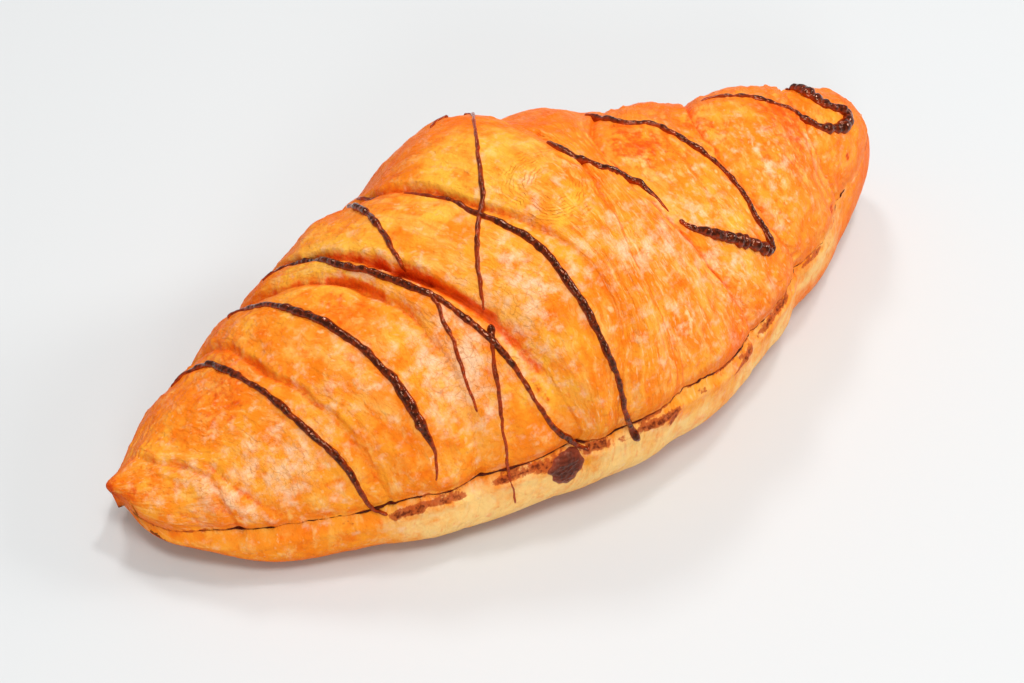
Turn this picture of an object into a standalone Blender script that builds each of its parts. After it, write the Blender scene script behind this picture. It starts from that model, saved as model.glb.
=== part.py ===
"""A filled chocolate croissant: a laminated crust, sliced through and closed over a chocolate filling.

X runs along the croissant, left tip to right tip, Y from its front to its back, Z up.
All sizes below are in millimetres and become metres when a mesh is made.
"""
import math

import bmesh
import bpy
import numpy as np

MM = 0.001

# The whole body, as one smooth roll
HALF_LENGTH = 95.6
HALF_WIDTH = 41.5
BACK_WIDTH_SHARE = 0.90      # right half, back side against front side
CREST_HEIGHT = 51.0
HUMP_HEIGHT = 6.8            # the last wraps, piled up in the middle
HUMP_X = -5.0
HUMP_REACH = 20.0
LEFT_TIP_HEIGHT = 15.2
RIGHT_TIP_HEIGHT = 20.0
LEFT_TIP_LIFT = 5.9          # how far each tip curls up off the base
RIGHT_TIP_LIFT = 6.0
LIFT_START = 0.62            # share of the half length where the lift begins
WIDEST_LEVEL = 0.27          # share of the height where the roll is widest
TIP_LEVEL = 0.55             # the same at the very tips
TIP_LEVEL_POWER = 6          # how late along the roll that level is reached
FRONT_BOW = 8.0              # the middle sits nearer the front than the tips
BASE_SQUASH = 1.5            # dough pressed flat where it rests
SQUASH_DOME = (2.0, 0.5)

# Dome exponents (inner, outer) for width and height on each half
LEFT_WIDTH_DOME = (1.18, 0.58)
RIGHT_WIDTH_DOME = (1.36, 0.96)
LEFT_HEIGHT_DOME = (2.23, 1.37)
RIGHT_HEIGHT_DOME = (1.4, 0.51)
LEFT_TIP_SHARE = 0.087        # width kept at each tip, against the half width
RIGHT_TIP_SHARE = 0.136
TIP_CAP = 0.07               # share of the half length that rounds off each tip
UPPER_ROUNDNESS = 2.2        # superellipse powers of the section
LOWER_ROUNDNESS = 3.2

# Edges of the wrapped dough, each given as its X at five angles round the roll
# (0 is the front, 90 the top, 180 the back), with the height of its lip there.
# Toward is the side on which the dough is raised.
SEAM_ANGLES = (10.0, 50.0, 90.0, 130.0, 170.0)
SEAMS = (
    # X along the seam                   lip height                 toward
    ((-79.0, -80.5, -86.5, -90.8, -91.5), (0.6, 0.9, 1.0, 0.7, 0.5), +1),
    ((-53.0, -57.3, -62.8, -66.5, -70.0), (0.7, 1.2, 1.5, 1.1, 0.9), +1),
    ((-37.0, -35.7, -41.6, -53.0, -59.0), (0.5, 0.9, 1.9, 1.2, 0.9), +1),
    ((-18.0, -24.5, -36.0, -45.5, -50.0), (0.8, 2.0, 3.0, 2.7, 1.4), +1),
    ((-9.5, -5.0, -16.8, -28.0, -33.0), (0.0, 0.3, 2.1, 1.4, 1.0), +1),
    ((-5.0, -1.0, 0.8, -4.5, -6.0), (0.3, 0.8, 1.6, 1.8, 0.8), -1),
    ((29.5, 17.5, 13.5, 30.5, 37.0), (0.7, 1.4, 1.9, 1.4, 1.2), -1),
    ((49.0, 38.8, 39.5, 49.0, 54.0), (0.7, 1.3, 1.7, 1.2, 1.1), -1),
    ((70.0, 64.8, 67.5, 74.5, 78.0), (0.6, 1.1, 1.5, 1.1, 0.9), -1),
)
CROWN_ANGLES = (30.0, 80.0, 125.0)
LAYER_CROWNS = (             # rise of each layer's middle, at those angles
    (0.3, 0.3, 0.3), (0.9, 0.9, 1.0), (1.4, 1.4, 1.7), (1.0, 1.2, 1.2), (1.3, 1.4, 1.5),
    (0.6, 0.6, 2.5), (1.0, 1.0, 1.3), (1.5, 1.5, 1.3), (1.5, 1.5, 1.9), (0.8, 0.8, 1.0))
LIP_RISE = 1.5               # across a lip, from its foot to its crest
LIP_DECAY = 12.0             # over which the dough behind a lip sinks back
CREASE_WIDTH = 1.3
CREASE_SHARE = 0.55          # depth of the crease at a lip's foot, against the lip
SEAM_WANDER = 0.5
SEAM_WAVES = 5
UNDER_ANGLES = (225.0, 315.0, 370.0)
UNDER_SWING = (0.2, 0.8)     # share of the way back at the first two of those angles
RELIEF_MEAN = 1.3            # taken off, so that the relief lies about the smooth roll
LOWER_RELIEF_SHARE = 0.25    # how much of the relief is left under the cut
UPPER_MARGIN = 5.0           # degrees below level where the full relief begins to fade
UPPER_FADE = 15.0
TIP_FADE = 10.0              # length at each tip over which the relief fades

# The knife cut, which drops toward the left tip
CUT_RIGHT_HEIGHT = 20.0
CUT_RIGHT_X = 66.0
CUT_DROP = 12.0
CUT_RUN = 160.0
CUT_POWER = 2.8
CUT_GROOVE_DEPTH = 1.4
CUT_GROOVE_REACH = 2.6
FILLING_THICKNESS = 1.2
GAP = 0.3                    # between neighbouring pieces
FILLING_INSET = 1.3

# Drizzle: each line as points (X, angle), with its width
DRIZZLE_LINES = (
    (1.9, ((-74, 134), (-70, 121), (-67, 96), (-64, 70), (-61, 46), (-58, 26), (-56, 17))),
    (2.0, ((-58, 140), (-55, 117), (-51, 92), (-46, 64), (-45, 40), (-45, 21))),
    (2.0, ((-49, 135), (-44, 121), (-40, 97), (-34, 79), (-29, 56), (-25, 32), (-22, 18))),
    (1.4, ((-32, 75), (-34, 58), (-35, 42), (-35, 33))),
    (1.7, ((-28, 130), (-32, 105), (-34, 90))),
    (2.0, ((-27, 129), (-23, 112), (-16, 84), (-12, 62), (-10, 40), (-9, 24), (-8, 16))),
    (1.4, ((-2, 119), (-8, 104), (-17, 87), (-24, 71), (-27, 60))),
    (1.5, ((-27, 56), (-29, 46), (-31, 32), (-32, 18))),
    (2.1, ((1, 91), (7, 88), (12, 78), (17, 65))),
    (2.0, ((24, 113), (27, 101), (33, 87), (36, 66), (38, 46), (38, 34))),
    (2.7, ((36, 36), (31, 44), (23, 52), (18, 61))),
    (2.2, ((49, 111), (56, 98), (66, 80), (71, 64), (77, 58))),
    (3.0, ((81, 61), (79, 74), (75, 92), (72, 105))),
)
SIDE_DRIPS = (               # drips that ran onto the lower slice
    (6.5, ((-15, 2), (-14, -10))),
)
DRIP_RISE_SHARE = 0.2
DRIZZLE_STEP = 4.5
DRIZZLE_SIDES = 6
DRIZZLE_RISE_SHARE = 0.42    # height above the crust, against the width
DRIZZLE_SINK = 0.9           # depth of the line's foot in the crust
DRIZZLE_TAPER = 0.55         # size of a line's first and last ring

# Fineness of the solids
STATIONS_PER_LAYER = (8, 7, 7, 5, 8, 6, 7, 7, 7, 9)
POINTS_AROUND = 48
CUT_STRIP = 16.0             # spacing of the strips that follow the bent cut
CUT_FACE_CORNERS = 8         # a face with more corners than this is part of the cut
SECTION_SAMPLES = 721
LINE_SAMPLES = 200
PROBE = 0.01                 # small step for a surface's direction
SLICE_TOLERANCE = 1e-4
MERGE_DISTANCE = 0.01
SHARP_ANGLE = 50.0

# Colours (linear) and roughness
CRUST_COLOUR = (0.83, 0.33, 0.07)
CRUST_ROUGHNESS = 0.45
PALE_COLOUR = (0.88, 0.50, 0.16)
PALE_ROUGHNESS = 0.55
CHOCOLATE_COLOUR = (0.05, 0.010, 0.004)
CHOCOLATE_ROUGHNESS = 0.30


def dome(share, inner, outer):
    """One at the middle, falling to zero where share reaches one."""
    return np.clip(1.0 - np.abs(share) ** inner, 0.0, None) ** outer


def signed_power(value, power):
    return np.sign(value) * np.abs(value) ** power


def smooth_step(value):
    value = np.clip(value, 0.0, 1.0)
    return value * value * (3.0 - 2.0 * value)


def smooth_curve(knots, values, where):
    """Cubic Hermite curve through the knots, with slopes from their neighbours."""
    knots = np.asarray(knots, float)
    values = np.asarray(values, float)
    slopes = np.gradient(values, knots)
    where = np.asarray(where, float)
    span = np.clip(np.searchsorted(knots, where, side="right") - 1, 0, len(knots) - 2)
    width = knots[span + 1] - knots[span]
    t = (where - knots[span]) / width
    start = (1 + 2 * t) * (1 - t) ** 2 * values[span] + t * (1 - t) ** 2 * width * slopes[span]
    end = t * t * (3 - 2 * t) * values[span + 1] + t * t * (t - 1) * width * slopes[span + 1]
    return start + end


def halves(x, left, right):
    """A dome whose exponents differ between the left and the right half."""
    share = x / HALF_LENGTH
    return np.where(share < 0, dome(share, *left), dome(share, *right))


def top_height(x):
    """Crest line: a dome from each tip, with the hump of the last wraps."""
    tip = np.where(x < 0, LEFT_TIP_HEIGHT, RIGHT_TIP_HEIGHT)
    crest = tip + (CREST_HEIGHT - tip) * halves(x, LEFT_HEIGHT_DOME, RIGHT_HEIGHT_DOME)
    return crest + HUMP_HEIGHT * np.exp(-((x - HUMP_X) / HUMP_REACH) ** 2)


def base_height(x):
    """Underside: flat, curling up toward each tip."""
    lift = np.where(x < 0, LEFT_TIP_LIFT, RIGHT_TIP_LIFT)
    reach = np.clip((np.abs(x) / HALF_LENGTH - LIFT_START) / (1 - LIFT_START), 0, 1)
    return lift * reach ** 2


def cut_height(x):
    """The cut lies level at the right and drops in a smooth sweep to the left tip."""
    run = np.clip((CUT_RIGHT_X - x) / CUT_RUN, 0, None)
    return CUT_RIGHT_HEIGHT - CUT_DROP * run ** CUT_POWER


def roll_point(x, angle):
    """The smooth roll: a superellipse section, rounder above its widest level."""
    share = x / HALF_LENGTH
    cap = np.sqrt(1 - np.clip((np.abs(share) - 1 + TIP_CAP) / TIP_CAP, 0, 1) ** 2)
    tip_share = np.where(x < 0, LEFT_TIP_SHARE, RIGHT_TIP_SHARE)
    width_share = tip_share + (1 - tip_share) * halves(x, LEFT_WIDTH_DOME, RIGHT_WIDTH_DOME)
    half_width = HALF_WIDTH * width_share * cap
    back_share = 1 + (BACK_WIDTH_SHARE - 1) * np.clip(2 * share, 0, 1)
    top = top_height(x)
    base = base_height(x) - BASE_SQUASH * dome(share, *SQUASH_DOME)
    level = WIDEST_LEVEL + (TIP_LEVEL - WIDEST_LEVEL) * share ** TIP_LEVEL_POWER
    widest = base + level * (top - base)
    upper = np.sin(angle) >= 0
    power = np.where(upper, 2 / UPPER_ROUNDNESS, 2 / LOWER_ROUNDNESS)
    across = half_width * np.where(np.cos(angle) < 0, back_share, 1.0)
    y = -FRONT_BOW * (1 - share ** 2) - across * signed_power(np.cos(angle), power)
    reach = np.where(upper, top - widest, widest - base) * cap
    z = widest + reach * signed_power(np.sin(angle), power)
    return np.stack([x, y, z], axis=-1)


def seam_x(seam, angle):
    """X of a seam at an angle; under the roll it swings back to where it began."""
    degrees = np.degrees(angle) % 360.0
    knots = SEAM_ANGLES + UNDER_ANGLES
    first = seam[0]
    last = seam[-1]
    swing = tuple(last + (first - last) * share for share in UNDER_SWING)
    values = seam + swing + (first,)
    degrees = np.where(degrees < SEAM_ANGLES[0], degrees + 360.0, degrees)
    wander = SEAM_WANDER * np.sin(SEAM_WAVES * angle + first)
    return smooth_curve(knots, values, degrees) + wander


def round_the_roll(knots, heights, angle):
    """A height that changes with the angle and stays as it is past the outer knots."""
    degrees = np.degrees(angle) % 360.0
    degrees = np.where(degrees > 270, 0.0, degrees)
    return smooth_curve(knots, heights, np.clip(degrees, knots[0], knots[-1]))


def relief(x, angle):
    """Height of the wrapped layers over the smooth roll.

    Each seam is a steep lip that sinks back behind itself, with a crease at its foot,
    and each layer between two seams has a low crown.
    """
    edges = [seam_x(seam, angle) for seam, _, _ in SEAMS]
    height = np.zeros_like(x)
    for edge, (_, heights, toward) in zip(edges, SEAMS):
        into = (x - edge) * toward
        lip = smooth_step((into + LIP_RISE / 2) / LIP_RISE) * np.exp(-np.clip(into, 0, None) / LIP_DECAY)
        crease = CREASE_SHARE * np.exp(-((into + LIP_RISE / 2) / CREASE_WIDTH) ** 2)
        height += round_the_roll(SEAM_ANGLES, heights, angle) * (lip - crease)
    bounds = [np.full_like(x, -HALF_LENGTH)] + edges + [np.full_like(x, HALF_LENGTH)]
    for start, end, crowns in zip(bounds, bounds[1:], LAYER_CROWNS):
        across = np.clip((x - start) / (end - start), 0, 1)
        height += round_the_roll(CROWN_ANGLES, crowns, angle) * np.sin(math.pi * across)
    height -= RELIEF_MEAN
    degrees = np.degrees(angle) % 360.0
    over_cut = smooth_step((degrees + UPPER_MARGIN) / UPPER_FADE)
    over_cut *= smooth_step((180 + UPPER_MARGIN - degrees) / UPPER_FADE)
    over_cut = np.maximum(over_cut, smooth_step((degrees + UPPER_MARGIN - 360) / UPPER_FADE))
    height *= LOWER_RELIEF_SHARE + (1 - LOWER_RELIEF_SHARE) * over_cut
    toward_tip = smooth_step((HALF_LENGTH - np.abs(x)) / TIP_FADE)
    return height * toward_tip


def groove(x, z):
    """The crust draws in along the cut, so that the two slices have soft edges."""
    return -CUT_GROOVE_DEPTH * np.exp(-((z - cut_height(x)) / CUT_GROOVE_REACH) ** 2)


def even_angles(count):
    """Angles that space points evenly round the middle section, from the front."""
    fine = np.linspace(0, 2 * math.pi, SECTION_SAMPLES)
    section = roll_point(np.zeros_like(fine), fine)
    length = np.concatenate([[0], np.cumsum(np.linalg.norm(np.diff(section, axis=0), axis=1))])
    return np.interp(np.arange(count) * length[-1] / count, length, fine)


def normals(points):
    """Outward normals of a grid that is closed round its second axis."""
    along = np.gradient(points, axis=0)
    around = np.roll(points, -1, axis=1) - np.roll(points, 1, axis=1)
    out = np.cross(along, around)
    return out / np.maximum(np.linalg.norm(out, axis=-1, keepdims=True), 1e-9)


def crust_grid(inset=0.0):
    """Points of the whole croissant: rows follow the seams, so that lips stay crisp."""
    angles = even_angles(POINTS_AROUND)
    edges = [seam_x(seam, angles) for seam, _, _ in SEAMS]
    bounds = [np.full_like(angles, -HALF_LENGTH)] + edges + [np.full_like(angles, HALF_LENGTH)]
    rows = []
    for start, end, count in zip(bounds, bounds[1:], STATIONS_PER_LAYER):
        for step in range(count):
            share = 0.5 - 0.5 * math.cos(math.pi * step / count)
            rows.append(start + (end - start) * share)
    rows.append(bounds[-1])
    x = np.array(rows)
    angle = np.broadcast_to(angles, x.shape)
    smooth = roll_point(x, angle)
    out = normals(smooth)
    height = relief(x, angle) + groove(x, smooth[..., 2]) - inset
    points = smooth + out * height[..., None]
    points[0] = points[0].mean(axis=0)
    points[-1] = points[-1].mean(axis=0)
    points[..., 2] = np.maximum(points[..., 2], 0.0 if inset == 0 else inset)
    return points


def material(name, colour, roughness):
    shade = bpy.data.materials.new(name)
    shade.use_nodes = True
    surface = shade.node_tree.nodes["Principled BSDF"]
    surface.inputs["Base Color"].default_value = (*colour, 1.0)
    surface.inputs["Roughness"].default_value = roughness
    surface.inputs["Metallic"].default_value = 0.0
    return shade


def grid_mesh(points):
    """A closed bmesh from a grid whose first and last rows are single points."""
    shell = bmesh.new()
    rows, around = points.shape[:2]
    first = shell.verts.new(points[0, 0])
    last = shell.verts.new(points[-1, 0])
    rings = [[shell.verts.new(point) for point in points[row]] for row in range(1, rows - 1)]
    for side in range(around):
        after = (side + 1) % around
        shell.faces.new((first, rings[0][side], rings[0][after]))
        shell.faces.new((last, rings[-1][after], rings[-1][side]))
        for ring, following in zip(rings, rings[1:]):
            shell.faces.new((ring[side], following[side], following[after], ring[after]))
    bmesh.ops.recalc_face_normals(shell, faces=shell.faces)
    return shell


def slice_at(shell, offset, keep_above):
    """Slices along the bent cut, in a space where the cut is the plane Z = 0, and closes the slice."""
    for vertex in shell.verts:
        vertex.co.z -= float(cut_height(vertex.co.x))
    whole = list(shell.verts) + list(shell.edges) + list(shell.faces)
    cut = bmesh.ops.bisect_plane(shell, geom=whole, dist=SLICE_TOLERANCE, plane_co=(0, 0, offset),
                                 plane_no=(0, 0, 1), clear_inner=keep_above, clear_outer=not keep_above)
    rim = [item for item in cut["geom_cut"] if isinstance(item, bmesh.types.BMEdge)]
    bmesh.ops.contextual_create(shell, geom=rim)
    for vertex in shell.verts:
        vertex.co.z += float(cut_height(vertex.co.x))


def strip_slice(shell):
    """Splits the long flat faces into strips, so that they follow the bend of the cut."""
    for x in np.arange(-HALF_LENGTH + CUT_STRIP, HALF_LENGTH, CUT_STRIP):
        wide = [face for face in shell.faces if len(face.verts) > CUT_FACE_CORNERS]
        edges = {edge for face in wide for edge in face.edges}
        corners = {vertex for face in wide for vertex in face.verts}
        bmesh.ops.bisect_plane(shell, geom=list(corners) + list(edges) + wide, dist=SLICE_TOLERANCE,
                               plane_co=(float(x), 0, 0), plane_no=(1, 0, 0))


def make_object(name, shell, shade, centre):
    """Centres a shell, turns it to metres and makes it a smooth-shaded object."""
    bmesh.ops.dissolve_degenerate(shell, dist=MERGE_DISTANCE, edges=shell.edges)
    bmesh.ops.triangulate(shell, faces=shell.faces)
    bmesh.ops.recalc_face_normals(shell, faces=shell.faces)
    if shell.calc_volume(signed=True) < 0:
        bmesh.ops.reverse_faces(shell, faces=shell.faces)
    for vertex in shell.verts:
        vertex.co.x = (vertex.co.x - centre[0]) * MM
        vertex.co.y = (vertex.co.y - centre[1]) * MM
        vertex.co.z *= MM
    mesh = bpy.data.meshes.new(name)
    shell.to_mesh(mesh)
    shell.free()
    mesh.shade_smooth()
    mesh.set_sharp_from_angle(angle=math.radians(SHARP_ANGLE))
    mesh.materials.append(shade)
    piece = bpy.data.objects.new(name, mesh)
    bpy.context.scene.collection.objects.link(piece)
    return piece


def surface_frame(x, angle):
    """Point on the finished crust and its outward normal, at (X, angle)."""
    centre = roll_point(x, angle)
    along = roll_point(x + PROBE, angle) - centre
    around = roll_point(x, angle + PROBE) - centre
    out = np.cross(along, around)
    out /= np.linalg.norm(out, axis=-1, keepdims=True)
    height = relief(x, angle) + groove(x, centre[..., 2])
    return centre + out * height[..., None], out


def drizzle_shell(width, line, rise_share):
    """A flattened tube laid along a line on the crust, with a round end at each end."""
    knots = np.arange(len(line), dtype=float)
    fine = np.linspace(0, knots[-1], LINE_SAMPLES)
    x = smooth_curve(knots, [point[0] for point in line], fine)
    angle = np.radians(smooth_curve(knots, [point[1] for point in line], fine))
    points, out = surface_frame(x, angle)
    length = np.concatenate([[0], np.cumsum(np.linalg.norm(np.diff(points, axis=0), axis=1))])
    count = max(4, int(round(length[-1] / DRIZZLE_STEP)) + 1)
    where = np.linspace(0, length[-1], count)
    points = np.stack([np.interp(where, length, points[:, axis]) for axis in range(3)], axis=1)
    out = np.stack([np.interp(where, length, out[:, axis]) for axis in range(3)], axis=1)
    out /= np.linalg.norm(out, axis=1, keepdims=True)
    ahead = np.gradient(points, axis=0)
    ahead /= np.linalg.norm(ahead, axis=1, keepdims=True)
    side = np.cross(ahead, out)
    side /= np.linalg.norm(side, axis=1, keepdims=True)
    turn = np.arange(DRIZZLE_SIDES) * 2 * math.pi / DRIZZLE_SIDES + math.pi / 2
    rise = width * rise_share
    up = np.where(np.sin(turn) > 0, rise, DRIZZLE_SINK) * np.sin(turn)
    across = width / 2 * np.cos(turn)
    taper = np.ones(count)
    taper[[0, -1]] = DRIZZLE_TAPER
    rings = points[:, None] + taper[:, None, None] * (
        side[:, None] * across[None, :, None] + out[:, None] * up[None, :, None])
    shell = bmesh.new()
    loops = [[shell.verts.new(point) for point in ring] for ring in rings]
    for loop, following in zip(loops, loops[1:]):
        for corner in range(DRIZZLE_SIDES):
            after = (corner + 1) % DRIZZLE_SIDES
            shell.faces.new((loop[corner], following[corner], following[after], loop[after]))
    shell.faces.new(loops[0])
    shell.faces.new(loops[-1])
    return shell


def join_collection(piece, collection):
    """One Boolean union of a whole collection onto a piece, applied, with its objects removed."""
    join = piece.modifiers.new("join", "BOOLEAN")
    join.operation = "UNION"
    join.operand_type = "COLLECTION"
    join.collection = collection
    join.solver = "EXACT"
    graph = bpy.context.evaluated_depsgraph_get()
    joined = bpy.data.meshes.new_from_object(piece.evaluated_get(graph))
    piece.modifiers.remove(join)
    plain = piece.data
    piece.data = joined
    bpy.data.meshes.remove(plain)
    for part in list(collection.objects):
        bpy.data.objects.remove(part)
    bpy.data.collections.remove(collection)


def clear_scene():
    for item in list(bpy.data.objects):
        bpy.data.objects.remove(item)


def add_chocolate(piece, lines, rise_share, chocolate, centre):
    """Fuses a set of chocolate lines to a slice of the crust."""
    chocolates = bpy.data.collections.new("chocolates")
    bpy.context.scene.collection.children.link(chocolates)
    for number, (width, line) in enumerate(lines, start=1):
        strand = make_object(f"line_{number}", drizzle_shell(width, line, rise_share), chocolate, centre)
        bpy.context.scene.collection.objects.unlink(strand)
        chocolates.objects.link(strand)
    join_collection(piece, chocolates)


def build_upper_crust(points, centre, crust, chocolate):
    shell = grid_mesh(points)
    slice_at(shell, FILLING_THICKNESS / 2 + GAP, keep_above=True)
    strip_slice(shell)
    lid = make_object("upper_crust", shell, crust, centre)
    add_chocolate(lid, DRIZZLE_LINES, DRIZZLE_RISE_SHARE, chocolate, centre)


def build_lower_crust(points, centre, crust, chocolate):
    shell = grid_mesh(points)
    slice_at(shell, -FILLING_THICKNESS / 2 - GAP, keep_above=False)
    strip_slice(shell)
    slab = make_object("lower_crust", shell, crust, centre)
    add_chocolate(slab, SIDE_DRIPS, DRIP_RISE_SHARE, chocolate, centre)


def build_filling(centre, chocolate):
    shell = grid_mesh(crust_grid(FILLING_INSET))
    slice_at(shell, -FILLING_THICKNESS / 2, keep_above=True)
    slice_at(shell, FILLING_THICKNESS / 2, keep_above=False)
    strip_slice(shell)
    make_object("chocolate_filling", shell, chocolate, centre)


def main():
    clear_scene()
    points = crust_grid()
    low = points.min(axis=(0, 1))
    high = points.max(axis=(0, 1))
    centre = (low + high) / 2
    upper = material("baked_crust", CRUST_COLOUR, CRUST_ROUGHNESS)
    lower = material("pale_crust", PALE_COLOUR, PALE_ROUGHNESS)
    chocolate = material("chocolate", CHOCOLATE_COLOUR, CHOCOLATE_ROUGHNESS)
    build_upper_crust(points, centre, upper, chocolate)
    build_filling(centre, chocolate)
    build_lower_crust(points, centre, lower, chocolate)


main()
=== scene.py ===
import math

import bpy
import numpy as np
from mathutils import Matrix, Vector


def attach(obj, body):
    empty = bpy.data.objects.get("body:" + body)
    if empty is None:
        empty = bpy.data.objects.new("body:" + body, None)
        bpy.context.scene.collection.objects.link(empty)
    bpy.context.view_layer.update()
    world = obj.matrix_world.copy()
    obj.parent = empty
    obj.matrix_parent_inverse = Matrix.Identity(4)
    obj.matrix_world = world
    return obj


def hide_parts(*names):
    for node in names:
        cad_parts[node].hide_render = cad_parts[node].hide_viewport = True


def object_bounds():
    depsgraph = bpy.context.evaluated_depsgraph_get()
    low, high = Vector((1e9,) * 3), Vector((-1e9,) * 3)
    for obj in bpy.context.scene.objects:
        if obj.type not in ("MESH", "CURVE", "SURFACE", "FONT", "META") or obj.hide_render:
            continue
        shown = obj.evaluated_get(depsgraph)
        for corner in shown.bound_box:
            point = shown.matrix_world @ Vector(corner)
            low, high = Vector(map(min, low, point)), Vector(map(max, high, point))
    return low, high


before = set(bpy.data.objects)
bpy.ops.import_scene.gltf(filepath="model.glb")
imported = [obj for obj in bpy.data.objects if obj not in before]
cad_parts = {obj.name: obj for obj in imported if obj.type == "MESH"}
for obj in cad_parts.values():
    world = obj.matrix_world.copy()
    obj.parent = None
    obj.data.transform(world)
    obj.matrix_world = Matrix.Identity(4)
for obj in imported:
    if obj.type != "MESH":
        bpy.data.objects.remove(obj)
cadLow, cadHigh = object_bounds()

# A filled chocolate croissant. Lengths are in millimetres until a mesh is made.
# X runs along it, Y from front to back, Z up. An angle goes round it: 0 front, 90 top, 180 back.
mm = 0.001

roll = dict(
    halfLength=95.6, halfWidth=41.5, backWidth=0.90,
    crest=51.0, hump=6.8, humpX=-5.0, humpReach=20.0,
    tipHeight=(15.2, 20.0), tipLift=(5.9, 6.0), liftStart=0.62,
    widest=0.27, widestAtTip=0.55, frontBow=8.0, squash=1.5,
    widthDome=((1.18, 0.58), (1.36, 0.96)), heightDome=((2.23, 1.37), (1.4, 0.51)),
    tipShare=(0.087, 0.136), tipCap=0.07, upperRound=2.2, lowerRound=3.2,
)


def smoothStep(t):
    # 0 below 0, 1 above 1, and 3t^2 - 2t^3 between
    t = np.clip(t, 0.0, 1.0)
    return t * t * (3.0 - 2.0 * t)


def signedPower(value, power):
    return np.sign(value) * np.abs(value) ** power


def smoothCurve(knots, values, where):
    # cubic Hermite curve through the knots, each slope the mean of its two neighbours
    knots, values, where = np.asarray(knots, float), np.asarray(values, float), np.asarray(where, float)
    slopes = np.gradient(values, knots)
    span = np.clip(np.searchsorted(knots, where, side="right") - 1, 0, len(knots) - 2)
    width = knots[span + 1] - knots[span]
    t = (where - knots[span]) / width
    start = (1 + 2 * t) * (1 - t) ** 2 * values[span] + t * (1 - t) ** 2 * width * slopes[span]
    end = t * t * (3 - 2 * t) * values[span + 1] + t * t * (t - 1) * width * slopes[span + 1]
    return start + end


def patchNoise(u, v, seed):
    # value noise, -1 to 1: random heights on a unit lattice, blended with a smooth step both ways
    lattice = np.random.default_rng(seed).uniform(-1, 1, (97, 89))
    u0, v0 = np.floor(u).astype(int), np.floor(v).astype(int)
    s, t = smoothStep(u - u0), smoothStep(v - v0)
    corner = lambda i, j: lattice[(u0 + i) % 97, (v0 + j) % 89]
    low = corner(0, 0) * (1 - s) + corner(1, 0) * s
    high = corner(0, 1) * (1 - s) + corner(1, 1) * s
    return low * (1 - t) + high * t


def lumpNoise(points, size, seed):
    # the same in space, with one lump for each stretch of that size
    lattice = np.random.default_rng(seed).uniform(-1, 1, (31, 37, 29))
    scaled = points / size
    cell = np.floor(scaled).astype(int)
    s, t, r = (smoothStep(scaled[..., axis] - cell[..., axis]) for axis in range(3))
    corner = lambda i, j, k: lattice[
        (cell[..., 0] + i) % 31, (cell[..., 1] + j) % 37, (cell[..., 2] + k) % 29]
    total = 0.0
    for i, j, k in np.ndindex(2, 2, 2):
        total = total + corner(i, j, k) * (s if i else 1 - s) * (t if j else 1 - t) * (r if k else 1 - r)
    return total


def blisterNoise(u, v, seed, share):
    # low round blisters: in each unit cell one dome at a random place, of random size, with a share left out
    rng = np.random.default_rng(seed)
    placeU, placeV = rng.uniform(0.2, 0.8, (2, 61, 53))
    size = rng.uniform(0.2, 0.5, (61, 53))
    size = np.where(rng.uniform(0, 1, (61, 53)) < share, size, 0.0)
    u0, v0 = np.floor(u).astype(int), np.floor(v).astype(int)
    height = np.zeros_like(u)
    for i, j in np.ndindex(3, 3):
        a, b = (u0 + i - 1) % 61, (v0 + j - 1) % 53
        away = np.hypot(u - (u0 + i - 1 + placeU[a, b]), v - (v0 + j - 1 + placeV[a, b]))
        reach = np.maximum(size[a, b], 1e-6)
        height = np.maximum(height, 2 * size[a, b] * smoothStep(1 - away / reach))
    return height


def dome(share, inner, outer):
    # 1 at the middle and 0 at the ends: (1 - |share|^inner)^outer
    return np.clip(1.0 - np.abs(share) ** inner, 0.0, None) ** outer


def domeOfHalves(x, pair):
    share = x / roll["halfLength"]
    return np.where(share < 0, dome(share, *pair[0]), dome(share, *pair[1]))


cut = dict(
    height=20.0, levelX=66.0, drop=12.0, run=160.0, power=2.8,
    waveX=(-84.0, -64.0, -56.0, -49.0, -42.0, -32.0, -25.0, -20.0, -12.0, -4.0, 5.0, 12.0, 20.0, 28.0,
           36.0, 48.0),
    wave=(0.0, -0.5, -1.0, 0.2, -0.4, 0.5, 0.5, 1.2, 0.4, 1.0, 2.0, 1.0, -0.6, -1.3, -0.8, 0.0),
)


def cutHeight(x):
    # the knife cut: level at the right, dropping as a power of the way to the left tip, and a little wavy
    way = np.clip((cut["levelX"] - x) / cut["run"], 0, None)
    inside = np.clip(x, cut["waveX"][0], cut["waveX"][-1])
    return cut["height"] - cut["drop"] * way ** cut["power"] + smoothCurve(cut["waveX"], cut["wave"], inside)


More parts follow.
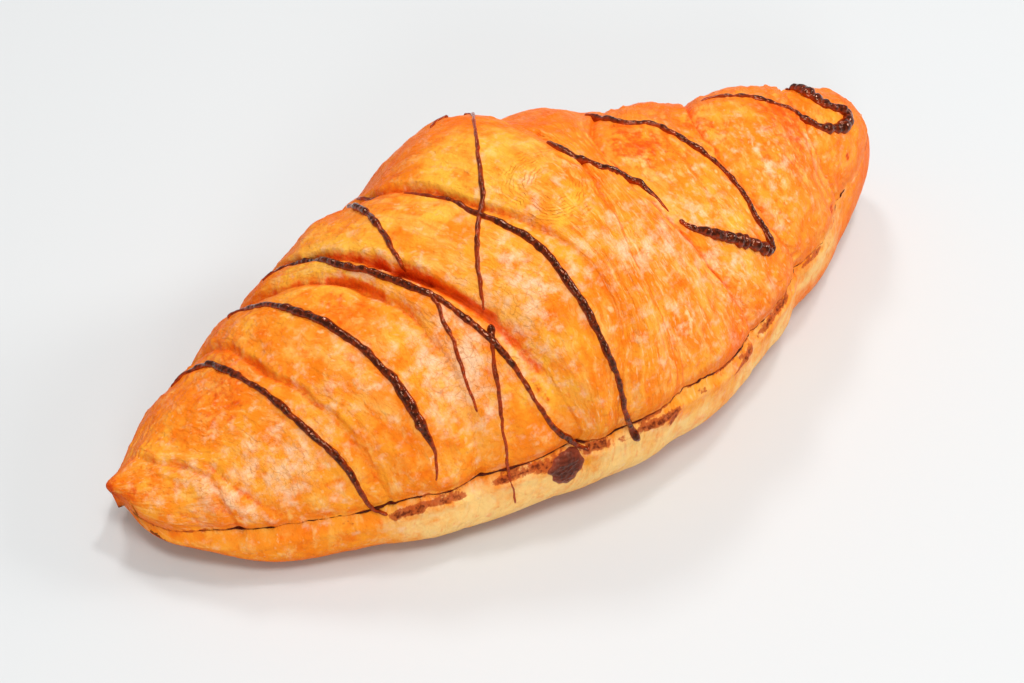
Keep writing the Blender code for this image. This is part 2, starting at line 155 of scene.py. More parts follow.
# Places where the roll is drawn out or pressed in: X and angle, reach along X and across it, and the move.
pulls = (
    # the left tip: its nose, the hollow behind it, and the lips of the two slices under it
    dict(at=(-95.2, 104.0), reach=(4.5, 3.4), move=(-3.3, 2.1, 0.3)),
    dict(at=(-89.6, 146.0), reach=(6.0, 5.5), move=(1.7, -1.7, -0.3)),
    dict(at=(-94.8, 176.0), reach=(5.0, 4.0), move=(1.6, -1.2, 0.6)),
    dict(at=(-95.4, 20.0), reach=(5.0, 3.0), move=(2.5, -0.6, 0.5)),
    dict(at=(-93.5, 215.0), reach=(5.0, 4.5), move=(-1.3, 0.8, 0.0)),
    # the front: full at the left, drawn in at the right
    dict(at=(-75.0, 346.0), reach=(19.0, 9.0), move=(-0.5, -2.3, -0.8)),
    dict(at=(-46.0, 348.0), reach=(20.0, 10.0), move=(0.0, -1.9, -0.5)),
    dict(at=(4.0, 346.0), reach=(8.0, 9.0), move=(0.0, 1.3, 0.4)),
    dict(at=(46.0, 346.0), reach=(13.0, 11.0), move=(0.0, 2.5, 0.4)),
    dict(at=(44.5, 346.0), reach=(6.0, 9.0), move=(0.0, -1.7, -0.5)),
    # the crest: dips and swellings from left to right
    dict(at=(-55.5, 134.0), reach=(4.0, 8.0), move=(0.0, -0.7, -0.8)),
    dict(at=(-38.5, 130.0), reach=(4.8, 9.0), move=(0.0, 1.0, 1.3)),
    dict(at=(-23.5, 141.0), reach=(4.0, 9.0), move=(0.0, -1.1, -1.1)),
    dict(at=(-6.5, 130.0), reach=(4.5, 9.0), move=(0.0, 0.5, 0.8)),
    dict(at=(5.5, 122.0), reach=(5.5, 12.0), move=(0.0, 0.0, -2.4)),
    dict(at=(15.5, 118.0), reach=(6.0, 12.0), move=(0.0, 0.0, 0.9)),
    dict(at=(44.0, 122.0), reach=(5.0, 9.0), move=(0.0, -0.4, -1.2)),
    dict(at=(91.0, 88.0), reach=(4.5, 8.0), move=(-1.0, 0.0, -1.5)),
)


def rollPoint(x, angle):
    # the bare roll, moved by a bell curve round each pull
    points = bareRoll(x, angle)
    moved = points.copy()
    for pull in pulls:
        centre = bareRoll(np.array([pull["at"][0]]), np.radians([pull["at"][1]]))[0]
        along = (points[..., 0] - centre[0]) / pull["reach"][0]
        across = np.linalg.norm(points[..., 1:] - centre[1:], axis=-1) / pull["reach"][1]
        moved += np.exp(-along ** 2 - across ** 2)[..., None] * np.array(pull["move"])
    return moved


def bareRoll(x, angle):
    # superellipse sections whose width and height are domes along X, with a hump in the middle
    share = x / roll["halfLength"]
    side = lambda pair: np.where(x < 0, pair[0], pair[1])
    cap = np.sqrt(1 - np.clip((np.abs(share) - 1 + roll["tipCap"]) / roll["tipCap"], 0, 1) ** 2)
    tipShare = side(roll["tipShare"])
    halfWidth = roll["halfWidth"] * (tipShare + (1 - tipShare) * domeOfHalves(x, roll["widthDome"])) * cap
    backShare = 1 + (roll["backWidth"] - 1) * np.clip(2 * share, 0, 1)
    tip = side(roll["tipHeight"])
    top = tip + (roll["crest"] - tip) * domeOfHalves(x, roll["heightDome"])
    top = top + roll["hump"] * np.exp(-((x - roll["humpX"]) / roll["humpReach"]) ** 2)
    lift = np.clip((np.abs(share) - roll["liftStart"]) / (1 - roll["liftStart"]), 0, 1) ** 2
    base = side(roll["tipLift"]) * lift - roll["squash"] * dome(share, 2.0, 0.5)
    widest = base + (roll["widest"] + (roll["widestAtTip"] - roll["widest"]) * share ** 6) * (top - base)
    upper = np.sin(angle) >= 0
    power = np.where(upper, 2 / roll["upperRound"], 2 / roll["lowerRound"])
    across = halfWidth * np.where(np.cos(angle) < 0, backShare, 1.0)
    y = -roll["frontBow"] * (1 - share ** 2) - across * signedPower(np.cos(angle), power)
    z = widest + np.where(upper, top - widest, widest - base) * cap * signedPower(np.sin(angle), power)
    return np.stack([x, y, z], axis=-1)


# The wrapped layers: seams (X at five angles, lip height there, side that is raised) and crowns.

wrap = dict(
    angles=(10.0, 50.0, 90.0, 130.0, 170.0),
    seams=(
        ((-79.0, -80.5, -86.5, -90.8, -91.5), (0.4, 0.6, 0.7, 0.5, 0.4), 1),
        ((-53.0, -57.3, -62.8, -66.5, -70.0), (0.4, 0.7, 0.9, 0.8, 0.7), 1),
        ((-37.0, -35.7, -41.6, -53.0, -59.0), (0.3, 0.4, 1.0, 1.0, 0.8), 1),
        ((-18.0, -24.5, -36.0, -45.5, -50.0), (0.2, 0.8, 2.0, 1.5, 1.1), 1),
        ((-9.5, -6.4, -16.8, -28.0, -33.0), (0.0, 0.3, 1.1, 1.0, 0.9), 1),
        ((6.0, 3.0, 3.9, -1.0, -4.0), (0.0, 0.2, 1.0, 1.3, 0.8), -1),
        ((29.5, 17.5, 13.5, 30.5, 37.0), (0.6, 1.0, 1.0, 0.4, 0.4), -1),
        ((49.0, 38.8, 39.5, 49.0, 54.0), (0.6, 0.9, 1.1, 1.0, 0.9), -1),
        ((70.0, 64.8, 67.5, 74.5, 78.0), (0.5, 0.8, 1.0, 0.9, 0.8), -1),
    ),
    crownAngles=(30.0, 80.0, 125.0),
    crowns=(
        (0.3, 0.3, 0.3), (0.9, 0.9, 1.0), (1.4, 1.4, 1.7), (1.0, 1.2, 1.2), (1.3, 1.4, 1.5),
        (0.6, 0.6, 2.5), (1.0, 1.0, 1.3), (1.5, 1.5, 1.3), (1.5, 1.5, 1.9), (0.8, 0.8, 1.0),
    ),
    lipRise=1.2, lipDecay=12.0, creaseWidth=0.85, creaseShare=0.6, wander=0.5, meanRelief=1.15,
    underCut=0.25, meanRadius=36.0,
    # where a lip is this high its painted crease shade is full: how dark the foot is painted, and how the
    # painted shade runs out from it
    fullLip=1.3, footShade=0.7, farShade=0.1, farStart=0.8, farDecay=2.4, crestAt=1.2, crestWidth=1.0,
    ragStart=0.6, ragStep=0.1,
)


def seamX(seam, angle):
    # X of a seam at an angle; under the roll it swings back to where it began
    degrees = np.degrees(angle) % 360.0
    first, last = seam[0], seam[-1]
    knots = wrap["angles"] + (225.0, 315.0, 370.0)
    values = seam + (last + (first - last) * 0.2, last + (first - last) * 0.8, first)
    degrees = np.where(degrees < wrap["angles"][0], degrees + 360.0, degrees)
    return smoothCurve(knots, values, degrees) + wrap["wander"] * np.sin(5 * angle + first)


def roundTheRoll(knots, heights, angle):
    degrees = np.degrees(angle) % 360.0
    degrees = np.where(degrees > 270, 0.0, degrees)
    return smoothCurve(knots, heights, np.clip(degrees, knots[0], knots[-1]))


def layerBounds(angle):
    # X of each seam at these angles, with the two tips at the ends
    edges = [seamX(seam, angle) for seam, heights, toward in wrap["seams"]]
    tip = np.full_like(angle, roll["halfLength"])
    return [-tip] + edges + [tip]


layKnots = [-roll["halfLength"]]
layKnots += [float(np.mean(seam)) for seam, heights, toward in wrap["seams"]] + [roll["halfLength"]]


def xOfLay(lay, angle):
    # lay is a length along the croissant that stays the same all along a seam
    bounds = np.stack(layerBounds(angle))
    span = np.clip(np.searchsorted(layKnots, lay, side="right") - 1, 0, len(layKnots) - 2)
    knots = np.asarray(layKnots)
    share = (lay - knots[span]) / (knots[span + 1] - knots[span])
    start = np.take_along_axis(bounds, span[None], axis=0)[0]
    end = np.take_along_axis(bounds, span[None] + 1, axis=0)[0]
    return start + (end - start) * share


def layOfX(x, angle):
    bounds = layerBounds(angle)
    lay = np.full_like(x, layKnots[0])
    for start, end, low, high in zip(bounds, bounds[1:], layKnots, layKnots[1:]):
        lay = lay + (high - low) * np.clip((x - start) / (end - start), 0, 1)
    return lay


def arcOfAngle(angle):
    # length round the roll, from under the front side up and over to under the back side
    return ((np.degrees(angle) + 90) % 360 - 90) * math.pi / 180 * wrap["meanRadius"]


def layerRelief(x, angle, rag):
    # Each seam is a steep lip that sinks back behind itself, with a crease at its foot.
    # Each layer between two seams has a low sine crown. Also returns how much painted shade each crease gets,
    # and how much lip crest there is.
    bounds = layerBounds(angle)
    height, crease, lipCrest = np.zeros_like(x), np.zeros_like(x), np.zeros_like(x)
    for number, (edge, (seam, heights, toward)) in enumerate(zip(bounds[1:-1], wrap["seams"])):
        lipHeight = roundTheRoll(wrap["angles"], heights, angle)
        into = (x - edge - rag * (wrap["ragStart"] + wrap["ragStep"] * number)) * toward
        lip = smoothStep((into + wrap["lipRise"] / 2) / wrap["lipRise"])
        lip = lip * np.exp(-np.clip(into, 0, None) / wrap["lipDecay"])
        foot = np.exp(-((into + wrap["lipRise"] / 2) / wrap["creaseWidth"]) ** 2)
        height += lipHeight * (lip - wrap["creaseShare"] * foot)
        fade = np.exp(-np.clip(-into - wrap["farStart"], 0, None) / wrap["farDecay"]) * (into < 0.2)
        strength = np.clip(lipHeight / wrap["fullLip"], 0, 1)
        # painted shade: darker at the foot of each lip, and a little darker farther out from it
        crease += strength * (wrap["footShade"] * foot + wrap["farShade"] * fade)
        lipCrest += strength * np.exp(-((into - wrap["crestAt"]) / wrap["crestWidth"]) ** 2)
    for start, end, crowns in zip(bounds, bounds[1:], wrap["crowns"]):
        across = np.clip((x - start) / (end - start), 0, 1)
        height += roundTheRoll(wrap["crownAngles"], crowns, angle) * np.sin(math.pi * across)
    return height - wrap["meanRelief"], crease, lipCrest


# What the oven did in single places, with painted shade and sheen on some. Each mark follows points (X,
# angle)
# on the crust: its half width, its height, and how much painted crease shade, pale (painted sheen),
# red (browning in spots, painted shade in dents and creases) or char it brings.
marks = (
    # folds of the left tip: painted sheen on their ridges and painted shade in their grooves
    dict(path=((-87, 86), (-85, 65), (-83, 48), (-82, 23)), width=1.5, height=0.6, pale=0.5),
    dict(path=((-83, 68), (-81, 44), (-78, 28), (-74, 16)), width=1.7, height=0.8, pale=0.8),
    dict(path=((-80, 62), (-78, 44), (-75, 28), (-72, 18)), width=0.8, height=-0.5, crease=0.5),
    dict(path=((-90, 70), (-89, 50), (-88, 30), (-85, 16)), width=1.0, height=-0.4, crease=0.4),
    # the flake that lifted on the left: painted shade along the foot of its edge, painted sheen on its ridge,
    # and the orange dough under it
    dict(path=((-45.1, 101), (-43.2, 96), (-41.5, 91), (-40.3, 87), (-39.9, 84)), width=0.6, height=-0.5,
         crease=0.8, red=0.4),
    dict(path=((-44.3, 103), (-42, 97), (-40.2, 91.5), (-39, 87)), width=0.8, height=0.4, pale=0.6),
    dict(path=((-47.5, 94), (-45.8, 89), (-44, 85), (-42.5, 81)), width=2.4, height=-0.15, red=0.35),
    # the long crease under the middle wrap, with painted shade in it
    dict(path=((-32, 78), (-31, 72), (-29.5, 68), (-27.6, 62), (-26.4, 58)), width=0.8, height=-0.5,
         crease=0.8, red=0.4),
    dict(path=((-26, 57), (-25.2, 52), (-24.2, 47), (-23.3, 42), (-22.6, 37)), width=1.9, height=-0.8,
         crease=0.35, red=0.25),
    # torn hollows with curled rims: painted shade in the hollows and painted sheen on the rims
    dict(path=((-39.3, 101), (-38.6, 98.5)), width=1.0, height=-0.6, red=0.7),
    dict(path=((-38.1, 93.5), (-37, 93), (-36.4, 90)), width=1.15, height=-1.1, red=1.1),
    dict(path=((-35.3, 86.5), (-34.2, 85), (-33.3, 82), (-32.4, 78.5)), width=1.2, height=-1.2, red=1.2),
    dict(path=((-39.8, 92.4), (-38.3, 89.4), (-36.6, 88.2), (-35.6, 87.8)), width=0.7, height=0.8, pale=1.2),
    dict(path=((-36.4, 84.3), (-35, 82), (-34, 78.5)), width=0.6, height=0.5, pale=0.9),
    dict(path=((-38, 97), (-36, 95.4), (-34.8, 91.5)), width=0.7, height=0.6, pale=0.8),
    dict(path=((-33.5, 88), (-32, 84.8), (-31, 80)), width=0.7, height=0.6, pale=0.7),
    # the notch behind the last wrap, and a crease to its right, both with painted shade
    dict(path=((1, 106), (2, 101), (3, 96)), width=2.0, height=-0.8, crease=0.4),
    dict(path=((29, 91), (29, 82), (28.5, 70), (28, 61)), width=0.8, height=-0.35, crease=0.5),
    # spots that browned more, and the burnt edge under the left tip
    dict(path=((-24, 33), (-23.6, 30)), width=0.8, height=0.1, red=0.8),
    dict(path=((-23, 27.5), (-22.6, 26)), width=0.6, height=0.1, red=0.9),
    dict(path=((64.1, 24), (64.6, 21)), width=0.8, height=-0.2, red=1.6),
    dict(path=((75.2, 38), (75.5, 36)), width=0.5, height=-0.1, red=1.4),
    dict(path=((-92, -38), (-90, -34), (-88, -30), (-86, -27)), width=0.9, height=0.3, char=1.0),
)

# Broad soft patches: X, angle, reach, amount.
tints = dict(
    gold=((-86, 70, 9, 0.5), (-90, 120, 8, 0.5), (-42, 108, 10, 1.0), (-36, 98, 6, 0.6), (-48, 114, 9, 0.8),
          (-12, 88, 11, 0.6), (-6, 70, 8, 0.6), (-20, 100, 9, 0.7), (28, 38, 10, 0.5), (36, 56, 8, 0.4),
          (46, 20, 9, 0.5), (-28, 30, 8, 0.5), (-12, 24, 7, 0.4), (80, 40, 9, 0.4), (58, 90, 9, 0.3),
          (-62, 118, 8, 0.6), (-54, 50, 7, 0.5), (-38, 60, 8, 0.3), (-44, 14, 8, 0.4), (74, 70, 7, 0.3),
          (10, 100, 8, 0.3), (-4, 104, 8, 0.6), (-26, 92, 7, 0.5), (-30, 68, 7, 0.3),
          (-14, 102, 10, 0.7), (-24, 44, 7, 0.6), (-21, 30, 6, 0.5)),
    # pale: patches of painted sheen, where the glaze would reflect light
    pale=((-72, 50, 8, 0.8), (-67, 34, 6, 0.6), (-86, 25, 6, 0.6), (-20, 58, 10, 1.0), (-60, 56, 6, 0.6),
          (12, 52, 8, 0.7), (-1, 58, 7, 0.6), (4, 30, 8, 0.5), (60, 60, 9, 0.4), (50, 72, 8, 0.4),
          (26, 66, 8, 0.6), (-36, 36, 7, 0.5), (32, 10, 5, 0.6), (15, 19, 4, 0.7), (-32, 52, 5, 0.6),
          (-52, 68, 7, 0.5), (-38, 72, 6, 0.4), (44, 45, 8, 0.4), (22, 40, 8, 0.6), (8, 60, 7, 0.5),
          (-39, 56, 8, 0.6), (-37, 43, 7, 0.5), (-24, 36, 7, 0.4), (-8, 80, 7, 0.4)),
    red=((-95, 100, 4, 1.0), (-93, 60, 3, 0.6), (-50, 86, 6, 0.4), (-56, 24, 6, 0.3), (-10, 36, 8, 0.3),
         (8, 74, 6, 0.3), (30, 80, 7, 0.3), (20, 10, 7, 0.3), (86, 80, 7, 0.4), (-72, 88, 7, 0.55),
         (-8, 12, 7, 0.4), (24, 14, 7, 0.3), (54, 62, 11, 0.5), (40, 92, 9, 0.5), (76, 60, 8, 0.4),
         (24, 94, 8, 0.5), (62, 84, 8, 0.6), (18, 84, 9, 0.45), (46, 34, 8, 0.3), (-66, 112, 8, 0.4)),
    # where the glaze flaked off in crisp pale specks; they also stand in for painted glints
    flecks=((12, 30, 12, 0.9), (0, 42, 9, 0.6), (30, 34, 11, 0.9), (48, 50, 10, 0.4), (26, 62, 9, 0.6),
            (58, 70, 9, 0.4), (-8, 20, 7, 0.4), (44, 22, 9, 0.3), (-40, 30, 8, 0.2)),
    # how pale the dough of the lower slice stayed; it is browner toward both tips
    dough=((-50, -2, 8, 0.6), (-40, -6, 9, 0.9), (-26, -8, 10, 1.0), (-8, -8, 11, 1.0), (10, -8, 11, 0.8),
           (27, -6, 10, 0.7), (42, -2, 10, 0.8), (58, 4, 9, 0.8), (70, 8, 8, 0.6), (-56, -20, 9, 0.3)),
)


def distanceTo(points, path, step):
    # distance to a line laid over the smooth roll through the path's points
    knots = np.arange(len(path), dtype=float)
    x = smoothCurve(knots, [p[0] for p in path], np.linspace(0, knots[-1], 60))
    angle = np.radians(smoothCurve(knots, [p[1] for p in path], np.linspace(0, knots[-1], 60)))
    line = rollPoint(x, angle)
    length = np.concatenate([[0], np.cumsum(np.linalg.norm(np.diff(line, axis=0), axis=1))])
    where = np.linspace(0, length[-1], max(2, int(length[-1] / step) + 1))
    nearest = np.full(points.shape[:-1], 1e9)
    for spot in np.stack([np.interp(where, length, line[:, axis]) for axis in range(3)], axis=1):
        nearest = np.minimum(nearest, ((points - spot) ** 2).sum(axis=-1))
    return np.sqrt(nearest)


fine = dict(
    lump=(9.0, 0.45), knob=(3.6, 0.16), grain=(1.5, 0.07),
    streak=(2.3, 15.0, 0.20), thread=(1.1, 8.0, 0.09), terrace=(3.4, 22.0, 0.16),
    blister=(3.0, 4.2, 0.30), drift=(12.0, 1.2), blisterShare=0.45,
)


def fineRelief(points, lay, arc):
    # Lumps of three sizes, ridged streaks along the wrap, thin plates with a stepped edge, and blisters.
    # Also returns the blisters, which are painted paler: partly baked paleness and partly a painted highlight
    # on their tops.
    size, rise = fine["lump"]
    height = rise * lumpNoise(points, size, 3)
    size, rise = fine["knob"]
    height += rise * lumpNoise(points, size, 4)
    size, rise = fine["grain"]
    height += rise * lumpNoise(points, size, 5)
    size, reach = fine["drift"]
    drift = reach * lumpNoise(points, size, 6)
    across, along, rise = fine["streak"]
    height += rise * (1 - 2 * np.abs(patchNoise((lay + drift) / across, arc / along, 7)))
    across, along, rise = fine["thread"]
    height += rise * patchNoise((lay + drift) / across, arc / along, 8)
    across, along, rise = fine["terrace"]
    plate = patchNoise((lay + drift * 2) / across, arc / along, 9)
    plate += 0.3 * patchNoise(lay / 1.3, arc / 3.0, 10)
    plate = smoothStep((plate - 0.1) / 0.16)
    height += rise * plate
    across, along, rise = fine["blister"]
    blister = blisterNoise((lay + drift) / across, arc / along, 11, fine["blisterShare"])
    height += rise * blister
    return height, blister


# The tongue is the end of the middle wrap: its place (X, angle), folds, how rings waver, and where they fade.
tongue = dict(at=(-4.0, 80.0), fold=2.2, rise=0.14, waver=(4.0, 0.9), inner=(1.0, 3.0), outer=(12.5, 5.0))


def tongueRings(points):
    # Distance from the tongue's end, bent by noise, for rings that fade outward. The folds in the mesh are
    # a sine of it; the finer wrinkles are drawn on the surface from the same distance.
    centre = rollPoint(np.array([tongue["at"][0]]), np.radians([tongue["at"][1]]))[0]
    size, waver = tongue["waver"]
    away = np.linalg.norm(points - centre, axis=-1) + waver * lumpNoise(points, size, 12)
    fade = smoothStep((away - tongue["inner"][0]) / tongue["inner"][1])
    fade = fade * smoothStep((tongue["outer"][0] - away) / tongue["outer"][1])
    return tongue["rise"] * fade * np.sin(2 * math.pi * away / tongue["fold"]), away, fade


# The groove along the cut, the low ledge under it, and the chocolate stain on both lips.
groove = dict(
    depth=1.15, closedDepth=0.35, reach=2.2, closedX=(34.0, 60.0),
    ledge=0.5, ledgeBelow=2.3, ledgeReach=1.3,
    stainReach=0.6, stainMean=0.85, stainPatches=((4.5, 9.0, 0.45), (1.4, 3.0, 0.35)),
    closedStain=0.6, leftStain=0.7, leftStainRun=60.0,
)

# How ragged the seams are, and where relief dies away: past the cut and under the roll, in degrees, and
# at the tips.
reliefFade = dict(
    # lipPale is how much painted sheen goes on the lip crests
    rag=((5.0, 0.6), (1.9, 0.35)), ragAlong=60.0, lipPale=0.15, patchWaver=(5.0, 1.5),
    overCut=5.0, overFade=15.0, under=(195.0, 345.0), underFade=25.0, underPlain=0.8, tipFade=10.0,
)


def openShare(x):
    # 1 where the two slices are apart, 0 at the right tip, where the dough stayed shut
    return 1 - smoothStep((x - groove["closedX"][0]) / (groove["closedX"][1] - groove["closedX"][0]))


def crust(x, angle):
    # The finished crust: the smooth roll, pushed out along its normal by all relief. Also what shows on it.
    step = 0.01
    smooth = rollPoint(x, angle)
    out = np.cross(rollPoint(x + step, angle) - smooth, rollPoint(x, angle + step) - smooth)
    out = out / np.maximum(np.linalg.norm(out, axis=-1, keepdims=True), 1e-12)
    lay, arc = layOfX(x, angle), arcOfAngle(angle)
    rag = sum(reach * patchNoise(arc / size, lay / reliefFade["ragAlong"], seed)
              for seed, (size, reach) in enumerate(reliefFade["rag"], start=1))
    wraps, crease, lipCrest = layerRelief(x, angle, rag)
    detail, blister = fineRelief(smooth, lay, arc)
    folds, ringAway, ringFade = tongueRings(smooth)
    # the crease amount is painted shade, and pale is painted sheen on the lip crests
    shown = dict(crease=crease, pale=reliefFade["lipPale"] * lipCrest)
    for name in ("red", "gold", "flecks", "dough", "char"):
        shown[name] = np.zeros_like(x)
    extra = detail + folds
    for mark in marks:
        near = np.exp(-(distanceTo(smooth, mark["path"], 0.8) / mark["width"]) ** 2)
        extra = extra + mark["height"] * near
        for name in shown:
            shown[name] = shown[name] + mark.get(name, 0.0) * near
    size, waver = reliefFade["patchWaver"]
    waver = waver * lumpNoise(smooth, size, 13)
    for name, spots in tints.items():
        for spotX, spotAngle, reach, amount in spots:
            centre = rollPoint(np.array([float(spotX)]), np.radians([float(spotAngle)]))[0]
            away = np.linalg.norm(smooth - centre, axis=-1) + waver
            shown[name] = shown[name] + amount * np.exp(-(away / reach) ** 2)
    degrees = np.degrees(angle) % 360.0
    edge, fade = reliefFade["overCut"], reliefFade["overFade"]
    overCut = smoothStep((degrees + edge) / fade) * smoothStep((180 + edge - degrees) / fade)
    overCut = np.maximum(overCut, smoothStep((degrees - 360 + edge) / fade))
    share = wrap["underCut"] + (1 - wrap["underCut"]) * overCut
    start, end = reliefFade["under"]
    fade = reliefFade["underFade"]
    under = smoothStep((degrees - start) / fade) * smoothStep((end - degrees) / fade)
    height = (wraps + extra * (1 - reliefFade["underPlain"] * under)) * share
    height *= smoothStep((roll["halfLength"] - np.abs(x)) / reliefFade["tipFade"])
    fromCut = (smooth[..., 2] - cutHeight(x)) / groove["reach"]
    closed = groove["closedDepth"]
    height -= groove["depth"] * np.exp(-fromCut ** 2) * (closed + (1 - closed) * openShare(x))
    below = (smooth[..., 2] - cutHeight(x) + groove["ledgeBelow"]) / groove["ledgeReach"]
    height += groove["ledge"] * np.exp(-below ** 2) * openShare(x)
    points = smooth + out * height[..., None]
    points[..., 2] = np.maximum(points[..., 2], 0.0)
    shown["crease"] = shown["crease"] * share
    shown["blister"] = blister * share
    shown["ringAway"], shown["ringFade"] = ringAway, ringFade
    edge = np.exp(-((points[..., 2] - cutHeight(x)) / groove["stainReach"]) ** 2)
    ragged = groove["stainMean"]
    for seed, (along, across, amount) in enumerate(groove["stainPatches"], start=14):
        ragged = ragged + amount * patchNoise(x / along, arc / across, seed)
    least, run, closed = groove["leftStain"], groove["leftStainRun"], groove["closedStain"]
    most = np.clip(least + (x + run) / run, least, 1.0) * (closed + (1 - closed) * openShare(x))
    shown["stain"] = edge * np.clip(ragged, 0, 1.3) * most
    shown["lay"], shown["arc"] = lay, arc
    return points, out, shown


def plainShift():
    # the frame's origin is under the middle of the part's box: the roll is moved there by the same rule
    angle = np.linspace(0, 2 * math.pi, 97)[None]
    x = np.linspace(-roll["halfLength"], roll["halfLength"], 241)[:, None] + 0 * angle
    y = rollPoint(x, angle + 0 * x)[..., 1]
    middle = (cadLow.y + cadHigh.y) / 2 / mm
    return middle - (y.min() + y.max()) / 2


def meshPiece(name, points, quads, values, material, slot, stands):
    # One mesh object from points in millimetres, faces, and per-point values; it rides on the frame.
    mesh = bpy.data.meshes.new(name)
    placed = (points + np.array([0.0, shiftY, 0.0])) * mm
    mesh.from_pydata(placed, [], quads)
    for valueName, value in values.items():
        if valueName in ("lay", "arc"):
            continue
        attribute = mesh.attributes.new(valueName, "FLOAT", "POINT")
        attribute.data.foreach_set("value", np.asarray(value, np.float32).ravel())
    if "lay" in values:
        corner = np.zeros(len(mesh.loops), np.int32)
        mesh.loops.foreach_get("vertex_index", corner)
        chart = mesh.uv_layers.new(name="wrapChart")
        flat = np.stack([values["lay"].ravel()[corner], values["arc"].ravel()[corner]], axis=1) * mm
        chart.data.foreach_set("uv", flat.astype(np.float32).ravel())
    mesh.shade_smooth()
    mesh.materials.append(material)
    piece = bpy.data.objects.new(name, mesh)
    bpy.context.scene.collection.objects.link(piece)
    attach(piece, "root")
    if stands:
        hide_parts(stands)
    return piece


def ringFaces(rows, around):
    # quads of a grid closed round its second axis, with a triangle fan on the single point at each end
    ring = np.arange(around)
    after = (ring + 1) % around
    start = 1 + np.arange(rows - 3)[:, None] * around
    quads = np.stack([start + ring, start + around + ring, start + around + after, start + after], axis=-1)
    lastPoint = 1 + (rows - 2) * around
    first = np.stack([np.zeros_like(ring), 1 + ring, 1 + after], axis=-1)
    lastRing = lastPoint - around
    last = np.stack([np.full_like(ring, lastPoint), lastRing + after, lastRing + ring], axis=-1)
    return quads.reshape(-1, 4), np.concatenate([first, last])


def closedGrid(points, values):
    # turns a grid whose first and last rows are single points into flat lists, faces outward
    rows, around = points.shape[:2]
    keep = lambda grid: np.concatenate([
        grid[:1, 0], grid[1:-1].reshape((-1,) + grid.shape[2:]), grid[-1:, 0]])
    flat = keep(points)
    quads, fans = ringFaces(rows, around)
    a, b, c = flat[quads[:, 0]], flat[quads[:, 1]], flat[quads[:, 2]]
    if np.einsum("ij,ij->", a - flat.mean(axis=0), np.cross(b - a, c - a)) < 0:
        quads, fans = quads[:, ::-1], fans[:, ::-1]
    return flat, quads.tolist() + fans.tolist(), {name: keep(value) for name, value in values.items()}


# The two slices: half of the gap inside, and at the lips by X; noise along the cut opens and closes it.
slices = dict(
    halfGap=0.9, lipX=(-84.0, -72.0, -57.0, -44.0, -30.0, -18.0, 0.0, 20.0, 45.0, 62.0),
    lipHalfGap=(0.02, 0.05, 0.10, 0.15, 0.18, 0.19, 0.14, 0.10, 0.07, 0.03),
    lipDepth=4.0, lipWave=8.0, lipRipple=2.1, lipSwing=(1.0, 0.45), lipLimits=(0.4, 1.5),
    rowsPerLayer=(40, 44, 42, 26, 44, 40, 44, 44, 44, 44), seamCrowding=0.55,
    lidColumns=220, baseColumns=150, faceColumns=10,
)


def layRows(counts):
    # lay of each row: even steps in each layer, crowded a little at the seams by a sine
    rows = []
    for low, high, count in zip(layKnots, layKnots[1:], counts):
        t = np.arange(count) / count
        crowded = t - slices["seamCrowding"] * np.sin(2 * math.pi * t) / (2 * math.pi)
        rows.append(low + (high - low) * crowded)
    return np.concatenate(rows + [[layKnots[-1]]])


def lipGap(x):
    # half of the slit between the two crusts: a curve along X times noise
    wave = patchNoise(x / slices["lipWave"], 0 * x, 33) + 0.5 * patchNoise(x / slices["lipRipple"], 0 * x, 34)
    inside = np.clip(x, slices["lipX"][0], slices["lipX"][-1])
    middle, swing = slices["lipSwing"]
    plain = smoothCurve(slices["lipX"], slices["lipHalfGap"], inside)
    return plain * np.clip(middle + swing * wave, *slices["lipLimits"])


def plainHeight(lay, angle, side):
    # height of the smooth roll over the edge of that slice
    x = xOfLay(lay, angle)
    return rollPoint(x, angle)[..., 2] - cutHeight(x) - side * lipGap(x)


def crossings(lay, side):
    # angles at which each row passes the cut, on the front and on the back, from a dense scan
    angle = np.radians(np.linspace(-90, 270, 1081))
    above = plainHeight(lay[:, None] + 0 * angle, angle + 0 * lay[:, None], side)
    up = above > 0
    first = np.argmax(up, axis=1)
    last = up.shape[1] - 1 - np.argmax(up[:, ::-1], axis=1)
    row = np.arange(len(lay))

    def between(i, j):
        a, b = above[row, i], above[row, j]
        share = np.where(np.abs(a - b) > 1e-9, a / np.where(np.abs(a - b) > 1e-9, a - b, 1.0), 0.0)
        return angle[i] + (angle[j] - angle[i]) * np.clip(share, 0, 1)

    front = np.where(first > 0, between(np.maximum(first - 1, 0), first), angle[0])
    back = np.where(last < len(angle) - 1, between(last, np.minimum(last + 1, len(angle) - 1)), angle[-1])
    return front, back, up.any(axis=1), up.all(axis=1)


def evenColumns(lay, start, end, count):
    # angles from start to end on each row, spaced evenly along the smooth section
    share = np.linspace(0, 1, 400)
    dense = start[:, None] + (end - start)[:, None] * share
    line = rollPoint(xOfLay(lay[:, None] + 0 * dense, dense), dense)
    length = np.cumsum(np.linalg.norm(np.diff(line, axis=1), axis=-1), axis=1)
    length = np.concatenate([np.zeros((len(lay), 1)), length], axis=1)
    length += np.linspace(0, 1e-6, 400)
    wanted = np.linspace(0, 1, count + 1)
    return np.stack([np.interp(wanted * row[-1], row, turn) for row, turn in zip(length, dense)])


